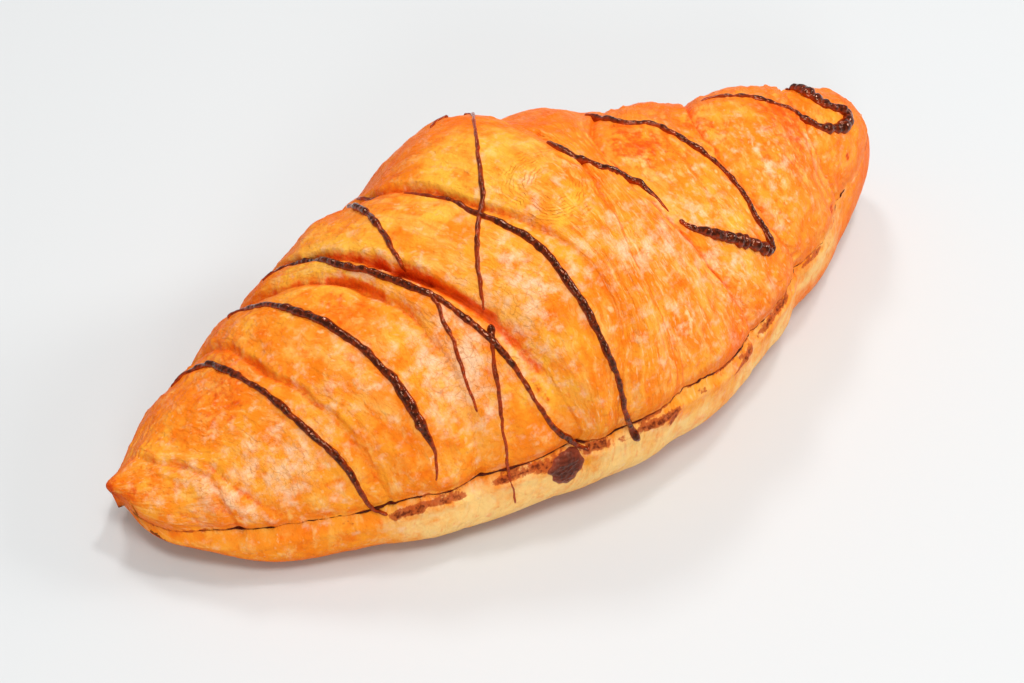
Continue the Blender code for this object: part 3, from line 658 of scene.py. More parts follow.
def sliceGrid(lay, start, end, columns, side):
    # rows of points over the crust from one edge of the cut to the other, closed by rows across the cut
    angle = evenColumns(lay, start, end, columns)
    x = xOfLay(lay[:, None] + 0 * angle, angle)
    points, out, shown = crust(x, angle)
    level = cutHeight(x) + side * lipGap(x)
    edge = np.zeros(columns + 1)
    edge[[0, -1]] = 1.0
    points[..., 2] += (level - points[..., 2]) * edge
    points[..., 2] = np.maximum(points[..., 2] * side, level * side) * side
    share = (np.arange(1, slices["faceColumns"] + 1) / (slices["faceColumns"] + 1))[None, :, None]
    across = points[:, -1:] + (points[:, :1] - points[:, -1:]) * share
    fromBack = np.linalg.norm(across - points[:, -1:], axis=-1)
    fromFront = np.linalg.norm(across - points[:, :1], axis=-1)
    inward = np.minimum(fromBack, fromFront)
    lip = lipGap(across[..., 0])
    faceGap = lip + (slices["halfGap"] - lip) * smoothStep(inward / slices["lipDepth"])
    across[..., 2] = cutHeight(across[..., 0]) + side * faceGap
    grid = np.concatenate([points, across], axis=1)
    grid[0], grid[-1] = grid[0].mean(axis=0), grid[-1].mean(axis=0)
    values = {}
    for name, value in shown.items():
        inner = value[:, -1:] + (value[:, :1] - value[:, -1:]) * share[..., 0]
        values[name] = np.concatenate([value, inner], axis=1)
    values["crumb"] = np.concatenate([0 * x, np.ones_like(across[..., 0])], axis=1)
    return grid, values


def buildLid(material):
    lay = layRows(slices["rowsPerLayer"])
    front, back, some, every = crossings(lay, 1)
    keep = some
    keep[0] = True
    lay, front, back = lay[keep], front[keep], back[keep]
    grid, values = sliceGrid(lay, front, back, slices["lidColumns"], 1)
    print("lid rows", len(lay))
    return meshPiece("crustLid", *closedGrid(grid, values), material, "golden_crust", "upper_crust")


def buildBase(material):
    lay = layRows(slices["rowsPerLayer"])
    front, back, some, every = crossings(lay, -1)
    top = math.radians(90)
    front = np.where(some, front, top) + 2 * math.pi
    back = np.where(some, back, top)
    keep = ~every
    keep[-1] = True
    lay, front, back = lay[keep], front[keep], back[keep]
    grid, values = sliceGrid(lay, back, front, slices["baseColumns"], -1)
    values["stain"] = np.maximum(0.8 * values["stain"], smearOn(grid))
    print("base rows", len(lay))
    return meshPiece("crustBase", *closedGrid(grid, values), material, "pale_crust", "lower_crust")


# Chocolate that stained the lower slice: path (X, how far below the cut), half width, and amount
# (over 1 is dark and thick).
smears = (
    dict(path=((-68, 0.7), (-61, 0.9), (-54, 1.1)), width=0.6, amount=0.85),
    dict(path=((-54, 1.5), (-49, 1.8)), width=1.0, amount=0.95),
    dict(path=((-49, 1.2), (-42, 1.1), (-34.5, 1.1)), width=0.7, amount=0.9),
    dict(path=((-34.5, 1.0), (-28, 1.0), (-25, 1.2)), width=0.8, amount=0.95),
    dict(path=((-26, 1.4), (-21.5, 1.7), (-18, 1.2)), width=1.3, amount=0.88),
    dict(path=((-17, 0.9), (-9, 1.0), (-3, 1.0)), width=1.1, amount=1.0),
    dict(path=((-3, 1.3), (1, 1.8), (3.5, 2.8), (2.5, 4.0)), width=1.1, amount=0.98),
    dict(path=((9, 1.5), (12, 1.8)), width=0.7, amount=0.6),
    dict(path=((22, 3.2), (27, 2.5), (29, 1.6)), width=0.8, amount=0.95),
    dict(path=((24, 0.9), (34, 1.1), (42, 1.1)), width=0.8, amount=0.9),
    dict(path=((50, 1.0), (57, 1.1)), width=0.7, amount=0.8),
    dict(path=((66, 0.8), (69, 0.9)), width=0.6, amount=0.7),
)


def frontAngle(x, below):
    # angle in degrees at which the front of the roll is that far below the cut, from a scan of heights
    scan = np.radians(np.linspace(-60, 60, 481))
    heights = rollPoint(np.full_like(scan, x), scan)[..., 2]
    return float(np.degrees(np.interp(cutHeight(np.array([x]))[0] - below, heights, scan)))


def smearOn(points):
    total = np.zeros(points.shape[:-1])
    ragged = 0.5 * lumpNoise(points, 1.1, 21) + 0.5 * lumpNoise(points, 2.6, 22)
    for smear in smears:
        path = [(x, frontAngle(float(x), below)) for x, below in smear["path"]]
        away = distanceTo(points, path, 0.5) / smear["width"] + 0.5 * ragged
        total = np.maximum(total, smear["amount"] * smoothStep(1.7 - away))
    return total


# The chocolate between the slices.
filling = dict(
    fromX=-90.0, toX=86.0, tipPower=24, thickness=1.2, inset=0.25, ooze=((3.1, 0.25), (1.2, 0.2)),
    overLip=1.2, film=0.04, rows=420, across=40, edge=8,
)


def buildFilling(material):
    # a slab along the cut: a rounded edge profile on the front and the back of each section
    x = np.linspace(filling["fromX"], filling["toX"], filling["rows"])
    turn = np.linspace(-math.pi / 2, math.pi / 2, filling["edge"])
    angle = np.radians(np.linspace(-90, 270, 1081))
    section = rollPoint(x[:, None] + 0 * angle, angle + 0 * x[:, None])
    over = section[..., 2] > cutHeight(x)[:, None]
    frontY = crust(x, angle[np.argmax(over, axis=1)])[0][:, 1]
    backY = crust(x, angle[-1 - np.argmax(over[:, ::-1], axis=1)])[0][:, 1]
    inset = filling["inset"]
    for seed, (size, reach) in enumerate(filling["ooze"], start=31):
        inset = inset + reach * patchNoise(x / size, 0 * x, seed)
    centre, halfLength = (filling["fromX"] + filling["toX"]) / 2, (filling["toX"] - filling["fromX"]) / 2
    taper = np.sqrt(np.clip(1 - (np.abs(x - centre) / halfLength) ** filling["tipPower"], 0, 1))
    middle = (frontY + backY) / 2
    reach = np.maximum((backY - frontY) / 2 - inset, 0.2) * taper
    half = filling["thickness"] / 2
    thin = lipGap(x) * filling["overLip"] + filling["film"]
    yShape = np.concatenate([-1 + 0 * turn, np.linspace(-1, 1, filling["across"])[1:-1], 1 + 0 * turn,
                             np.linspace(1, -1, filling["across"])[1:-1]])
    bulge = np.concatenate([-np.cos(turn), 0 * np.arange(filling["across"] - 2), np.cos(turn),
                            0 * np.arange(filling["across"] - 2)])
    zShape = np.concatenate([np.sin(turn), np.ones(filling["across"] - 2), -np.sin(turn),
                             -np.ones(filling["across"] - 2)])
    # thin between the lips, and thicker inward
    inward = smoothStep(reach[:, None] * (1 - np.abs(yShape)) / slices["lipDepth"])
    deep = (thin[:, None] + (half - thin[:, None]) * inward) * taper[:, None]
    y = middle[:, None] + reach[:, None] * yShape + deep * bulge
    z = cutHeight(x)[:, None] + deep * zShape
    grid = np.stack([x[:, None] + 0 * y, y, z], axis=-1)
    grid[0], grid[-1] = grid[0].mean(axis=0), grid[-1].mean(axis=0)
    return meshPiece("chocolateLayer", *closedGrid(grid, {}), material, "chocolate", "chocolate_filling")


# The drizzle: for each line its widths from start to end, how uneven it is, how far it broke into beads,
# and the points (X, angle) it was poured through.
drizzle = dict(
    step=0.21, sides=20, rise=0.48, sink=0.5, bead=1.9, ripple=1.1, drop=2.7, bridge=3.4, slim=0.86,
    sway=((3.0, 0.14), (1.1, 0.10)), skin=((0.75, 0.13), (0.42, 0.07)), fullSkin=1.5, thinWidth=1.35,
    lines=(
        dict(width=(1.0, 1.5, 1.6, 1.7, 1.5, 1.3, 0.9), lump=0.20, beads=0.0, path=(
            (-75.9, 138), (-74.2, 134), (-71.2, 127), (-69.4, 115), (-68.2, 101), (-66.2, 85), (-64.3, 67),
            (-62.4, 51), (-59.7, 34), (-58.5, 20), (-57.4, 9), (-56.2, 6), (-54.8, 4.5))),
        dict(width=(1.0, 1.5, 1.6, 1.8, 1.9, 1.9, 1.8, 1.8, 2.4, 2.3, 0.8, 0.4), lump=0.15, beads=0.0, path=(
            (-60.5, 132), (-58, 127), (-56, 117), (-53.5, 101), (-50.2, 85), (-48.2, 73), (-46.9, 62),
            (-45.7, 50), (-45.1, 37), (-44.3, 26), (-44.6, 20), (-45.4, 15))),
        dict(width=(1.0, 1.5, 1.8, 1.8, 1.7, 1.6, 1.5, 1.7, 1.1, 0.9, 1.5, 1.2), lump=0.20, beads=0.2, path=(
            (-50.8, 134), (-48.6, 131), (-46.4, 127), (-44.5, 119), (-43.2, 108), (-41.3, 97), (-38.5, 89),
            (-35.8, 81), (-32.8, 72), (-30.9, 63), (-28.9, 54), (-27.3, 45), (-26.1, 37), (-24.9, 27),
            (-22.9, 18), (-21.3, 13), (-18.4, 6.5), (-16, 4))),
        dict(width=(1.2, 1.1, 0.8, 0.65, 0.35), lump=0.24, beads=0.2, path=(
            (-33, 73), (-33.8, 64), (-34.2, 56), (-34.9, 48), (-35.2, 39), (-35.1, 32))),
        dict(width=(1.1, 1.8, 1.6, 1.3, 0.9), lump=0.18, beads=0.1, path=(
            (-30.8, 128), (-31.1, 118), (-31.5, 108), (-32.4, 97), (-33.3, 91), (-34.2, 85))),
        dict(width=(0.6, 1.1, 0.6), lump=0.14, beads=0.0, path=((-27.6, 134), (-26.8, 128), (-26.6, 118))),
        dict(width=(0.6, 1.1, 1.3, 1.7, 1.8, 1.8, 1.7, 1.4, 1.3, 1.8), lump=0.16, beads=0.1, path=(
            (-23.9, 110), (-22.4, 101), (-20.1, 95), (-18.8, 87), (-16.5, 79.5), (-14.4, 72), (-13, 64),
            (-12.1, 55), (-11, 45), (-10.3, 34), (-9.3, 23), (-8.6, 13), (-7.5, 7), (-6.4, 2.5), (-5.6, 1))),
        dict(width=(0.9, 0.8, 0.9, 1.0, 1.3, 1.1, 1.1, 0.5), lump=0.24, beads=0.0, path=(
            (-0.9, 124), (-4.5, 114), (-7.5, 106), (-9.9, 100), (-14.7, 89.5), (-18.5, 84), (-21.9, 77),
            (-24.4, 70), (-27, 60))),
        dict(width=(1.5, 1.0, 1.1, 0.9, 0.8, 0.8, 0.7, 0.5, 0.35), lump=0.26, beads=0.0, path=(
            (-27.2, 55.5), (-28, 51.5), (-29.2, 46), (-30.5, 37), (-31.4, 27), (-31.9, 17), (-32, 8),
            (-31.6, 2), (-31.4, -5))),
        dict(width=(0.6, 1.0, 0.7), lump=0.14, beads=0.0, path=((-9.5, 126), (-7.2, 128), (-5.0, 127.5))),
        dict(width=(0.8, 1.3, 0.8), lump=0.14, beads=0.0, path=(
            (-2.5, 125), (-1, 124.5), (0.3, 122.5), (1, 119))),
        dict(width=(1.0, 1.7, 1.7, 1.5, 1.7, 1.8, 1.3, 0.4), lump=0.22, beads=0.0, path=(
            (1.8, 93), (2.7, 90), (4.2, 87), (6.5, 85), (8.3, 82), (10.9, 80), (13.6, 78), (15.4, 75),
            (16.2, 70), (16.9, 63.5))),
        dict(width=(0.9, 1.6, 1.4, 1.6, 1.7, 1.6, 1.5, 1.6, 1.9, 2.2), lump=0.20, beads=0.15, path=(
            (21.6, 115), (22.6, 111), (23, 106), (23.8, 100), (26.1, 97), (28.9, 95), (31, 90), (33, 85),
            (34.6, 76), (36.2, 67), (36.8, 58), (37.2, 50), (38, 42), (38.4, 36), (38.2, 33))),
        dict(width=(2.9, 3.3, 2.9, 3.1, 2.8, 2.1, 0.9), lump=0.20, beads=0.5, path=(
            (38.2, 33.5), (35.8, 36), (33.3, 40), (29.4, 44.5), (25.4, 49), (22, 53), (19.5, 56),
            (17.9, 60))),
        dict(width=(0.5, 1.2, 1.2, 1.5, 1.3, 1.5, 1.7, 2.8, 3.1, 2.8, 2.8, 3.2, 3.5, 2.4),
             lump=0.26, beads=0.25, path=(
                 (47.8, 108), (50.5, 108), (53.5, 103), (58, 96), (63, 86), (66.5, 77), (70.1, 65),
                 (73.5, 59.5), (77, 57), (80.2, 59), (80.8, 64), (78.7, 71), (76.2, 78), (74.9, 88),
                 (74.6, 97), (74.2, 106), (73.8, 112))),
        dict(width=(1.2, 0.8, 0.4), lump=0.1, beads=0.0, path=((72.5, 110), (74.2, 114), (76, 114.5))),
    ),
)


def strandGrid(line, number):
    # A round-topped band carried along the path. It bridges creases: its foot follows the crust's height
    # after a running maximum and then a running minimum. Width and height swell by noise, and by the
    # square root of a sine where the line broke into beads; each end closes as a rounded point.
    knots = np.arange(len(line["path"]), dtype=float)
    dense = np.linspace(0, knots[-1], 700)
    x = smoothCurve(knots, [p[0] for p in line["path"]], dense)
    angle = np.radians(smoothCurve(knots, [p[1] for p in line["path"]], dense))
    points, out, _ = crust(x, angle)
    smooth = rollPoint(x, angle)
    length = np.concatenate([[0], np.cumsum(np.linalg.norm(np.diff(smooth, axis=0), axis=1))])
    count = max(14, int(length[-1] / drizzle["step"]))
    where = np.linspace(0, length[-1], count)
    take = lambda rows: np.stack([np.interp(where, length, rows[:, axis]) for axis in range(3)], axis=1)
    rises = np.interp(where, length, np.einsum("ij,ij->i", points - smooth, out))
    smooth, out = take(smooth), take(out)
    out /= np.linalg.norm(out, axis=1, keepdims=True)
    window = int(drizzle["bridge"] / drizzle["step"]) // 2 * 2 + 1
    pad = lambda values: np.pad(values, window // 2, mode="edge")
    windows = lambda values: np.lib.stride_tricks.sliding_window_view(pad(values), window)
    bridged = windows(windows(rises).max(axis=1)).min(axis=1)
    bridged = windows(bridged) @ np.hanning(window + 2)[1:-1] / np.hanning(window + 2).sum()
    bridged = np.maximum(bridged, rises - 0.15)
    base = smooth + out * bridged[:, None]
    ahead = np.gradient(base, axis=0)
    ahead /= np.linalg.norm(ahead, axis=1, keepdims=True)
    side = np.cross(ahead, out)
    side /= np.linalg.norm(side, axis=1, keepdims=True)
    share = where / where[-1]
    wave = lambda size, seed: patchNoise(where / size, 0 * where, 100 + 10 * number + seed)
    width = drizzle["slim"] * np.interp(share, np.linspace(0, 1, len(line["width"])), line["width"])
    drops = np.sqrt(np.abs(np.sin(math.pi * where / drizzle["drop"] + 1.1 * wave(4.0, 6)))) - 0.75
    uneven = line["lump"] * (wave(drizzle["bead"], 1) + 0.6 * wave(drizzle["ripple"], 2))
    width = width * (1 + uneven + 0.7 * line["beads"] * drops)
    fromEnd = np.minimum(where, where[-1] - where)
    ends = np.sqrt(np.clip(1 - (1 - np.clip(fromEnd / (width * 0.8), 0, 1)) ** 2, 0, 1))
    swell = 1 + 1.2 * line["lump"] * wave(drizzle["bead"], 3) + 0.8 * line["beads"] * drops
    rise = drizzle["rise"] * width * swell * ends
    half = width / 2 * ends
    sway = sum(reach * wave(size, seed) for seed, (size, reach) in enumerate(drizzle["sway"], start=4))
    turn = np.arange(drizzle["sides"]) * 2 * math.pi / drizzle["sides"] + math.pi / 2
    foot = (drizzle["sink"] + bridged - rises) * ends
    up = np.where(np.sin(turn) > 0, rise[:, None] * np.sin(turn), foot[:, None] * np.sin(turn))
    across = half[:, None] * np.cos(turn) + sway[:, None]
    grid = base[:, None] + side[:, None] * across[..., None] + out[:, None] * up[..., None]
    skin = sum(reach * lumpNoise(grid, size, seed + number)
               for seed, (size, reach) in zip((40, 60), drizzle["skin"]))
    skin = skin * np.clip(width / drizzle["fullSkin"], 0.3, 1)[:, None]
    grid = grid + out[:, None] * (skin * np.clip(np.sin(turn), 0, 1) * ends[:, None])[..., None]
    thin = np.clip((drizzle["thinWidth"] - width[:, None]) / 0.9, 0, 1)
    thin = thin + 0.9 * (1 - np.clip(np.sin(turn) / 0.9, 0, 1))
    grid[0], grid[-1] = grid[0].mean(axis=0), grid[-1].mean(axis=0)
    return grid, {"thin": np.clip(thin, 0, 1)}


def buildDrizzle(material):
    for number, line in enumerate(drizzle["lines"], start=1):
        grid, values = strandGrid(line, number)
        meshPiece(f"drizzle{number}", *closedGrid(grid, values), material, "chocolate", "upper_crust")
    print("drizzle lines", len(drizzle["lines"]))


# The drip that ran onto the lower slice.
drip = dict(
    x=-20.6, below=4.6, reach=(3.1, 4.3), rise=0.5, rings=30, around=84,
    # its outline's waves (how many round it, phase, height) and spur (turn, half width, height)
    waves=((2, 1.0, 0.05), (3, 0.0, 0.04), (5, 2.0, 0.04), (11, 0.0, 0.03)), spur=(2.9, 0.22, 0.35),
    crackle=((0.9, 0.14), (0.5, 0.10)),
)


def buildDrip(material):
    # a low dome on the crust over a wavy oval: height falls as 1 - r^4, with a crackled skin
    radius = np.linspace(0, 1, drip["rings"])[:, None]
    turn = np.arange(drip["around"])[None] * 2 * math.pi / drip["around"]
    spurTurn, spurWidth, spurHeight = drip["spur"]
    edge = sum((height * np.sin(count * turn + phase) for count, phase, height in drip["waves"]), 1.0)
    edge = edge + spurHeight * np.exp(-((turn - spurTurn) / spurWidth) ** 2)
    alongX = drip["reach"][0] * radius * edge * np.cos(turn)
    upZ = drip["reach"][1] * radius * edge * np.sin(turn)
    x = drip["x"] + alongX
    # the way up the side is measured along the section, which turns quickly here
    scan = np.radians(np.linspace(-70, 70, 561))
    line = rollPoint(drip["x"] + 0 * scan, scan)
    length = np.concatenate([[0], np.cumsum(np.linalg.norm(np.diff(line, axis=0), axis=1))])
    start = np.interp(np.radians(frontAngle(drip["x"], drip["below"])), scan, length)
    angle = np.interp(start + upZ, length, scan)
    surface, out, _ = crust(x, angle)
    height = drip["rise"] * (1 - radius ** 4) + 0 * turn
    crackle = sum(rise * lumpNoise(surface, size, seed)
                  for seed, (size, rise) in enumerate(drip["crackle"], start=71))
    height = height + crackle * (1 - radius ** 4)
    top = surface + out * height[..., None]
    under = surface - out * (0.5 * (1 - radius ** 2) + 0.05 + 0 * turn)[..., None]
    grid = np.concatenate([top, under[::-1]])
    thin = np.concatenate([radius ** 3 + 0 * turn, 1 + 0 * (radius + turn)])
    return meshPiece("drip", *closedGrid(grid, {"thin": thin}), material, "chocolate", "lower_crust")


def linear(hexColour):
    # sRGB hex to linear RGBA
    channels = [int(hexColour[i:i + 2], 16) / 255 for i in (1, 3, 5)]
    return [c / 12.92 if c <= 0.04045 else ((c + 0.055) / 1.055) ** 2.4 for c in channels] + [1.0]


def addNode(tree, kind, settings, inputs):
    # one node: its properties, then its sockets, each given a value or the socket that feeds it
    node = tree.nodes.new("ShaderNode" + kind)
    for name, value in settings.items():
        setattr(node, name, value)
    for name, value in inputs.items():
        if isinstance(value, bpy.types.NodeSocket):
            tree.links.new(value, node.inputs[name])
        else:
            node.inputs[name].default_value = value
    return node


def newMaterial(name):
    material = bpy.data.materials.new(name)
    material.use_nodes = True
    tree = material.node_tree
    return material, tree, tree.nodes["Principled BSDF"]


# Paint goes on in this order. Each coat is a colour where a texture passes from the first to the second
# limit, at most by its amount. "by" names a value of the mesh and how much of it is added to the texture.
# "size" is the texture's grain in mm: along the croissant and round it on the wrapped layers (two numbers),
# or in space (one). The texture is noise, cells (the distance to a cell's middle less part of a number
# drawn for each cell) or edges (the distance to the border between cells).
crustLook = dict(
    base="#fb9a28",
    paint=(
        dict(colour="#f77c12", size=(11,), limits=(0.40, 0.60), amount=0.85, detail=2),
        dict(colour="#fdb63c", size=(5.2,), limits=(0.60, 1.00), amount=0.85, detail=4, by=("gold", 0.42)),
        dict(colour="#f26a0c", size=(3.8,), limits=(0.48, 0.72), amount=0.70, detail=5, by=("red", 0.15)),
        dict(colour="#fccd80", size=(3.0,), limits=(0.76, 1.26), amount=1.0, detail=5, by=("dough", 0.72)),
        dict(colour="#f79a35", size=(2.6, 7.0), limits=(0.50, 0.72), amount=0.50, detail=4),
        dict(colour="#fbb655", size=(3.2, 9.0), limits=(0.48, 0.72), amount=0.66, detail=5),
        dict(colour="#fcc674", size=(1.6, 4.6), limits=(0.52, 0.74), amount=0.55, detail=4),
        dict(colour="#ee640c", size=(1.4, 5.0), limits=(0.54, 0.74), amount=0.50, detail=4),
        # painted sheen: pinkish pale patches in place of reflections on the glaze, more on the pale spots and
        # lip crests
        dict(colour="#fbcaa2", size=(2.8,), limits=(0.53, 0.86), amount=0.84, detail=5, by=("pale", 0.17),
             name="paintedSheen"),
        # pale specks of flaked glaze, partly painted glints
        dict(colour="#fbcf98", size=(1.5, 4.2), limits=(0.66, 0.79), amount=0.62, detail=3,
             by=("flecks", 0.11)),
        dict(colour="#fbd09a", size=(1.2, 2.2), limits=(0.06, -0.14), amount=0.34, texture="cells",
             pick=0.30, by=("flecks", -0.12)),
        # paler blisters, partly a painted highlight on their tops
        dict(colour="#fcd29a", size=(2.0,), limits=(0.95, 1.35), amount=0.45, detail=3, by=("blister", 0.70)),
        dict(colour="#b9540c", size=(0.9,), limits=(0.66, 0.78), amount=0.35, detail=4),
        # painted shade in the creases, red-brown at the foot of each lip
        dict(colour="#ea500a", size=(1.6,), limits=(0.68, 1.15), amount=0.85, detail=4, by=("crease", 0.80)),
        dict(colour="#b83408", size=(1.6,), limits=(1.10, 1.65), amount=0.65, detail=4, by=("crease", 0.80)),
        # red browning in spots, and painted shade in the dents and creases where the marks put it
        dict(colour="#e0480a", size=(1.8,), limits=(0.75, 1.15), amount=0.90, detail=4, by=("red", 0.70)),
        dict(colour="#a42c08", size=(1.3,), limits=(1.10, 1.50), amount=0.75, detail=4, by=("red", 0.70)),
        dict(colour="#a8500e", size=(1.0, 1.8), limits=(0.0, -0.03), amount=0.34, texture="edges",
             by=("pale", -0.045)),
        dict(colour="#b4471c", size=(0.9,), limits=(0.80, 1.05), amount=0.85, detail=4, by=("stain", 0.75)),
        dict(colour="#571a0c", size=(0.9,), limits=(1.10, 1.32), amount=0.85, detail=4, by=("stain", 0.75)),
        dict(colour="#35110a", size=(1.1,), limits=(0.85, 1.05), amount=0.90, detail=4, by=("char", 0.75)),
        dict(colour="#f3d193", size=(2.0,), limits=(0.95, 1.15), amount=1.00, detail=3, by=("crumb", 0.80)),
    ),
    # the chart is pushed about by noise: its size and reach in mm
    warp=((5.0, 2.4), (1.3, 0.7)), grainRough=0.62,
    # wrinkles round the tongue's end, with painted shade in their grooves: their spacing in mm, how dark,
    # their colour, and how far they bend
    rings=(0.72, 0.42, "#b4540c"), ringBend=2.2, ringBand=(0.35, 0.95), ringGaps=(0.44, 0.60),
    # relief too fine for the mesh: grain as above, detail, and its share of the bump
    skin=(((0.8,), 4, 1.0), ((2.0,), 3, 1.0), ((0.7, 3.6), 3, 1.3), ((1.6, 7.0), 3, 1.5)),
    bump=(0.9, 0.34), rough=(0.36, 0.54), dullSize=2.5, glazeRough=0.14, specular=0.06, ior=1.45,
    # painted shade: the crust is painted a deeper orange where it is seen edge-on, toward its outline: from
    # and to how far turned, and most
    edgeOnShade=(0.35, 0.80, 0.62, "#ee5f06"),
)


def bakedCrust(name, look):
    # Laminated butter dough, egg-washed and baked: a thin glossy glaze over orange-gold crust.
    # It gives the eye mottled browning, pale streaks along the wrap, blisters, painted sheen on the glaze,
    # and painted shade: red-brown in the creases and deeper orange toward the outline.
    material, tree, shader = newMaterial(name)
    place = addNode(tree, "TexCoord", {}, {}).outputs["Object"]
    chart = addNode(tree, "UVMap", {"uv_map": "wrapChart"}, {}).outputs["UV"]
    # streaks waver, because their chart does
    for size, reach in look["warp"]:
        push = addNode(tree, "TexNoise", {}, {"Vector": place, "Scale": 1 / (size * mm), "Detail": 2.0})
        centred = addNode(tree, "VectorMath", {"operation": "SUBTRACT"}, {
            0: push.outputs["Color"], 1: (0.5, 0.5, 0.5)})
        scaled = addNode(tree, "VectorMath", {"operation": "SCALE"}, {
            0: centred.outputs[0], "Scale": reach * mm})
        chart = addNode(tree, "VectorMath", {"operation": "ADD"}, {
            0: chart, 1: scaled.outputs[0]}).outputs[0]

    colour, masks = linear(look["base"]), {}
    for number, coat in enumerate(look["paint"]):
        spread = coat["size"] if len(coat["size"]) == 2 else coat["size"] * 3
        mapped = addNode(tree, "Mapping", {}, {
            "Vector": chart if len(coat["size"]) == 2 else place,
            "Location": (number * 3.7, number * 1.9, number * 2.3),
            "Scale": tuple(1 / (length * mm) for length in spread) + (1.0,) * (3 - len(spread))}).outputs[0]
        texture = coat.get("texture", "noise")
        if texture == "noise":
            value = addNode(tree, "TexNoise", {}, {
                "Vector": mapped, "Scale": 1.0, "Detail": coat["detail"],
                "Roughness": look["grainRough"]}).outputs["Fac"]
        elif texture == "edges":
            value = addNode(tree, "TexVoronoi", {"feature": "DISTANCE_TO_EDGE"},
                            {"Vector": mapped, "Scale": 1.0}).outputs["Distance"]
        else:
            cells = addNode(tree, "TexVoronoi", {}, {"Vector": mapped, "Scale": 1.0})
            value = addNode(tree, "Math", {"operation": "MULTIPLY_ADD"}, {
                0: cells.outputs["Color"], 1: -coat["pick"], 2: cells.outputs["Distance"]}).outputs[0]
        if "by" in coat:
            shown = addNode(tree, "Attribute", {"attribute_name": coat["by"][0]}, {}).outputs["Fac"]
            value = addNode(tree, "Math", {"operation": "MULTIPLY_ADD"}, {
                0: shown, 1: coat["by"][1], 2: value}).outputs[0]
        mask = addNode(tree, "MapRange", {"interpolation_type": "SMOOTHSTEP"}, {
            "Value": value, "From Min": coat["limits"][0], "From Max": coat["limits"][1],
            "To Max": coat["amount"]}).outputs[0]
        masks[coat.get("name", number)] = mask
        colour = addNode(tree, "Mix", {"data_type": "RGBA"}, {
            0: mask, 6: colour, 7: linear(coat["colour"])}).outputs[2]

    # the tongue's wrinkles: grooves in the bump with painted shade in them
    spacing, dark, ringShadeColour = look["rings"]
    away = addNode(tree, "Attribute", {"attribute_name": "ringAway"}, {}).outputs["Fac"]
    fade = addNode(tree, "Attribute", {"attribute_name": "ringFade"}, {}).outputs["Fac"]
    bend = addNode(tree, "TexNoise", {}, {
        "Vector": place, "Scale": 1 / (look["ringBend"] * mm), "Detail": 3.0}).outputs["Fac"]
    turns = addNode(tree, "Math", {"operation": "MULTIPLY_ADD"}, {
        0: bend, 1: look["ringBend"], 2: away}).outputs[0]
    turns = addNode(tree, "Math", {"operation": "MULTIPLY"}, {
        0: turns, 1: 2 * math.pi / spacing}).outputs[0]
    ring = addNode(tree, "Math", {"operation": "SINE"}, {0: turns}).outputs[0]
    ring = addNode(tree, "MapRange", {}, {
        "Value": ring, "From Min": look["ringBand"][0], "From Max": look["ringBand"][1],
        "To Max": dark}).outputs[0]
    gaps = addNode(tree, "MapRange", {}, {
        "Value": bend, "From Min": look["ringGaps"][0], "From Max": look["ringGaps"][1]}).outputs[0]
    ring = addNode(tree, "Math", {"operation": "MULTIPLY"}, {0: ring, 1: gaps}).outputs[0]
    ring = addNode(tree, "Math", {"operation": "MULTIPLY"}, {0: ring, 1: fade}).outputs[0]
    colour = addNode(tree, "Mix", {"data_type": "RGBA"}, {
        0: ring, 6: colour, 7: linear(ringShadeColour)}).outputs[2]
    # painted shade toward the outline: deeper orange where the crust is seen edge-on, less on the pale lower
    # slice
    start, end, most, edgeShadeColour = look["edgeOnShade"]
    turned = addNode(tree, "LayerWeight", {}, {"Blend": 0.5}).outputs["Facing"]
    turned = addNode(tree, "MapRange", {"interpolation_type": "SMOOTHSTEP"}, {
        "Value": turned, "From Min": start, "From Max": end, "To Max": most}).outputs[0]
    baked = addNode(tree, "Attribute", {"attribute_name": "dough"}, {}).outputs["Fac"]
    baked = addNode(tree, "MapRange", {}, {"Value": baked, "From Min": 0.8, "From Max": 0.2}).outputs[0]
    turned = addNode(tree, "Math", {"operation": "MULTIPLY"}, {0: turned, 1: baked}).outputs[0]
    colour = addNode(tree, "Mix", {"data_type": "RGBA"}, {
        0: turned, 6: colour, 7: linear(edgeShadeColour)}).outputs[2]
    tree.links.new(colour, shader.inputs["Base Color"])

    dull = addNode(tree, "TexNoise", {}, {
        "Vector": place, "Scale": 1 / (look["dullSize"] * mm), "Detail": 3.0}).outputs["Fac"]
    dull = addNode(tree, "MapRange", {}, {
        "Value": dull, "From Min": 0.3, "From Max": 0.65,
        "To Min": look["rough"][0], "To Max": look["rough"][1]}).outputs[0]
    # where the painted sheen lies the glaze is also glossier
    rough = addNode(tree, "Math", {"operation": "MULTIPLY_ADD"}, {
        0: masks["paintedSheen"], 1: -look["glazeRough"], 2: dull})
    tree.links.new(rough.outputs[0], shader.inputs["Roughness"])
    shader.inputs["IOR"].default_value = look["ior"]
    shader.inputs["Specular IOR Level"].default_value = look["specular"]

    # skin: pores, puckers and threads of half a millimetre and less, and the wrinkles as small grooves
    height = addNode(tree, "Math", {"operation": "MULTIPLY"}, {0: ring, 1: -1.0}).outputs[0]
    for number, (size, detail, share) in enumerate(look["skin"]):
        spread = size if len(size) == 2 else size * 3
        mapped = addNode(tree, "Mapping", {}, {
            "Vector": chart if len(size) == 2 else place, "Location": (number * 5.3, number * 2.9, 0.0),
            "Scale": tuple(1 / (length * mm) for length in spread) + (1.0,) * (3 - len(spread))}).outputs[0]
        grain = addNode(tree, "TexNoise", {}, {
            "Vector": mapped, "Scale": 1.0, "Detail": detail}).outputs["Fac"]
        height = addNode(tree, "Math", {"operation": "MULTIPLY_ADD"}, {
            0: grain, 1: share, 2: height}).outputs[0]
    strength, distance = look["bump"]
    bump = addNode(tree, "Bump", {}, {"Strength": strength, "Distance": distance * mm, "Height": height})
    tree.links.new(bump.outputs[0], shader.inputs["Normal"])
    return material


# Grain of the chocolate's colour and pits, in mm, and the limits between its dark and light colour.
chocolateGrain = dict(colour=0.8, limits=(0.45, 1.0), pits=0.7, pitDepth=0.22, ior=1.5)


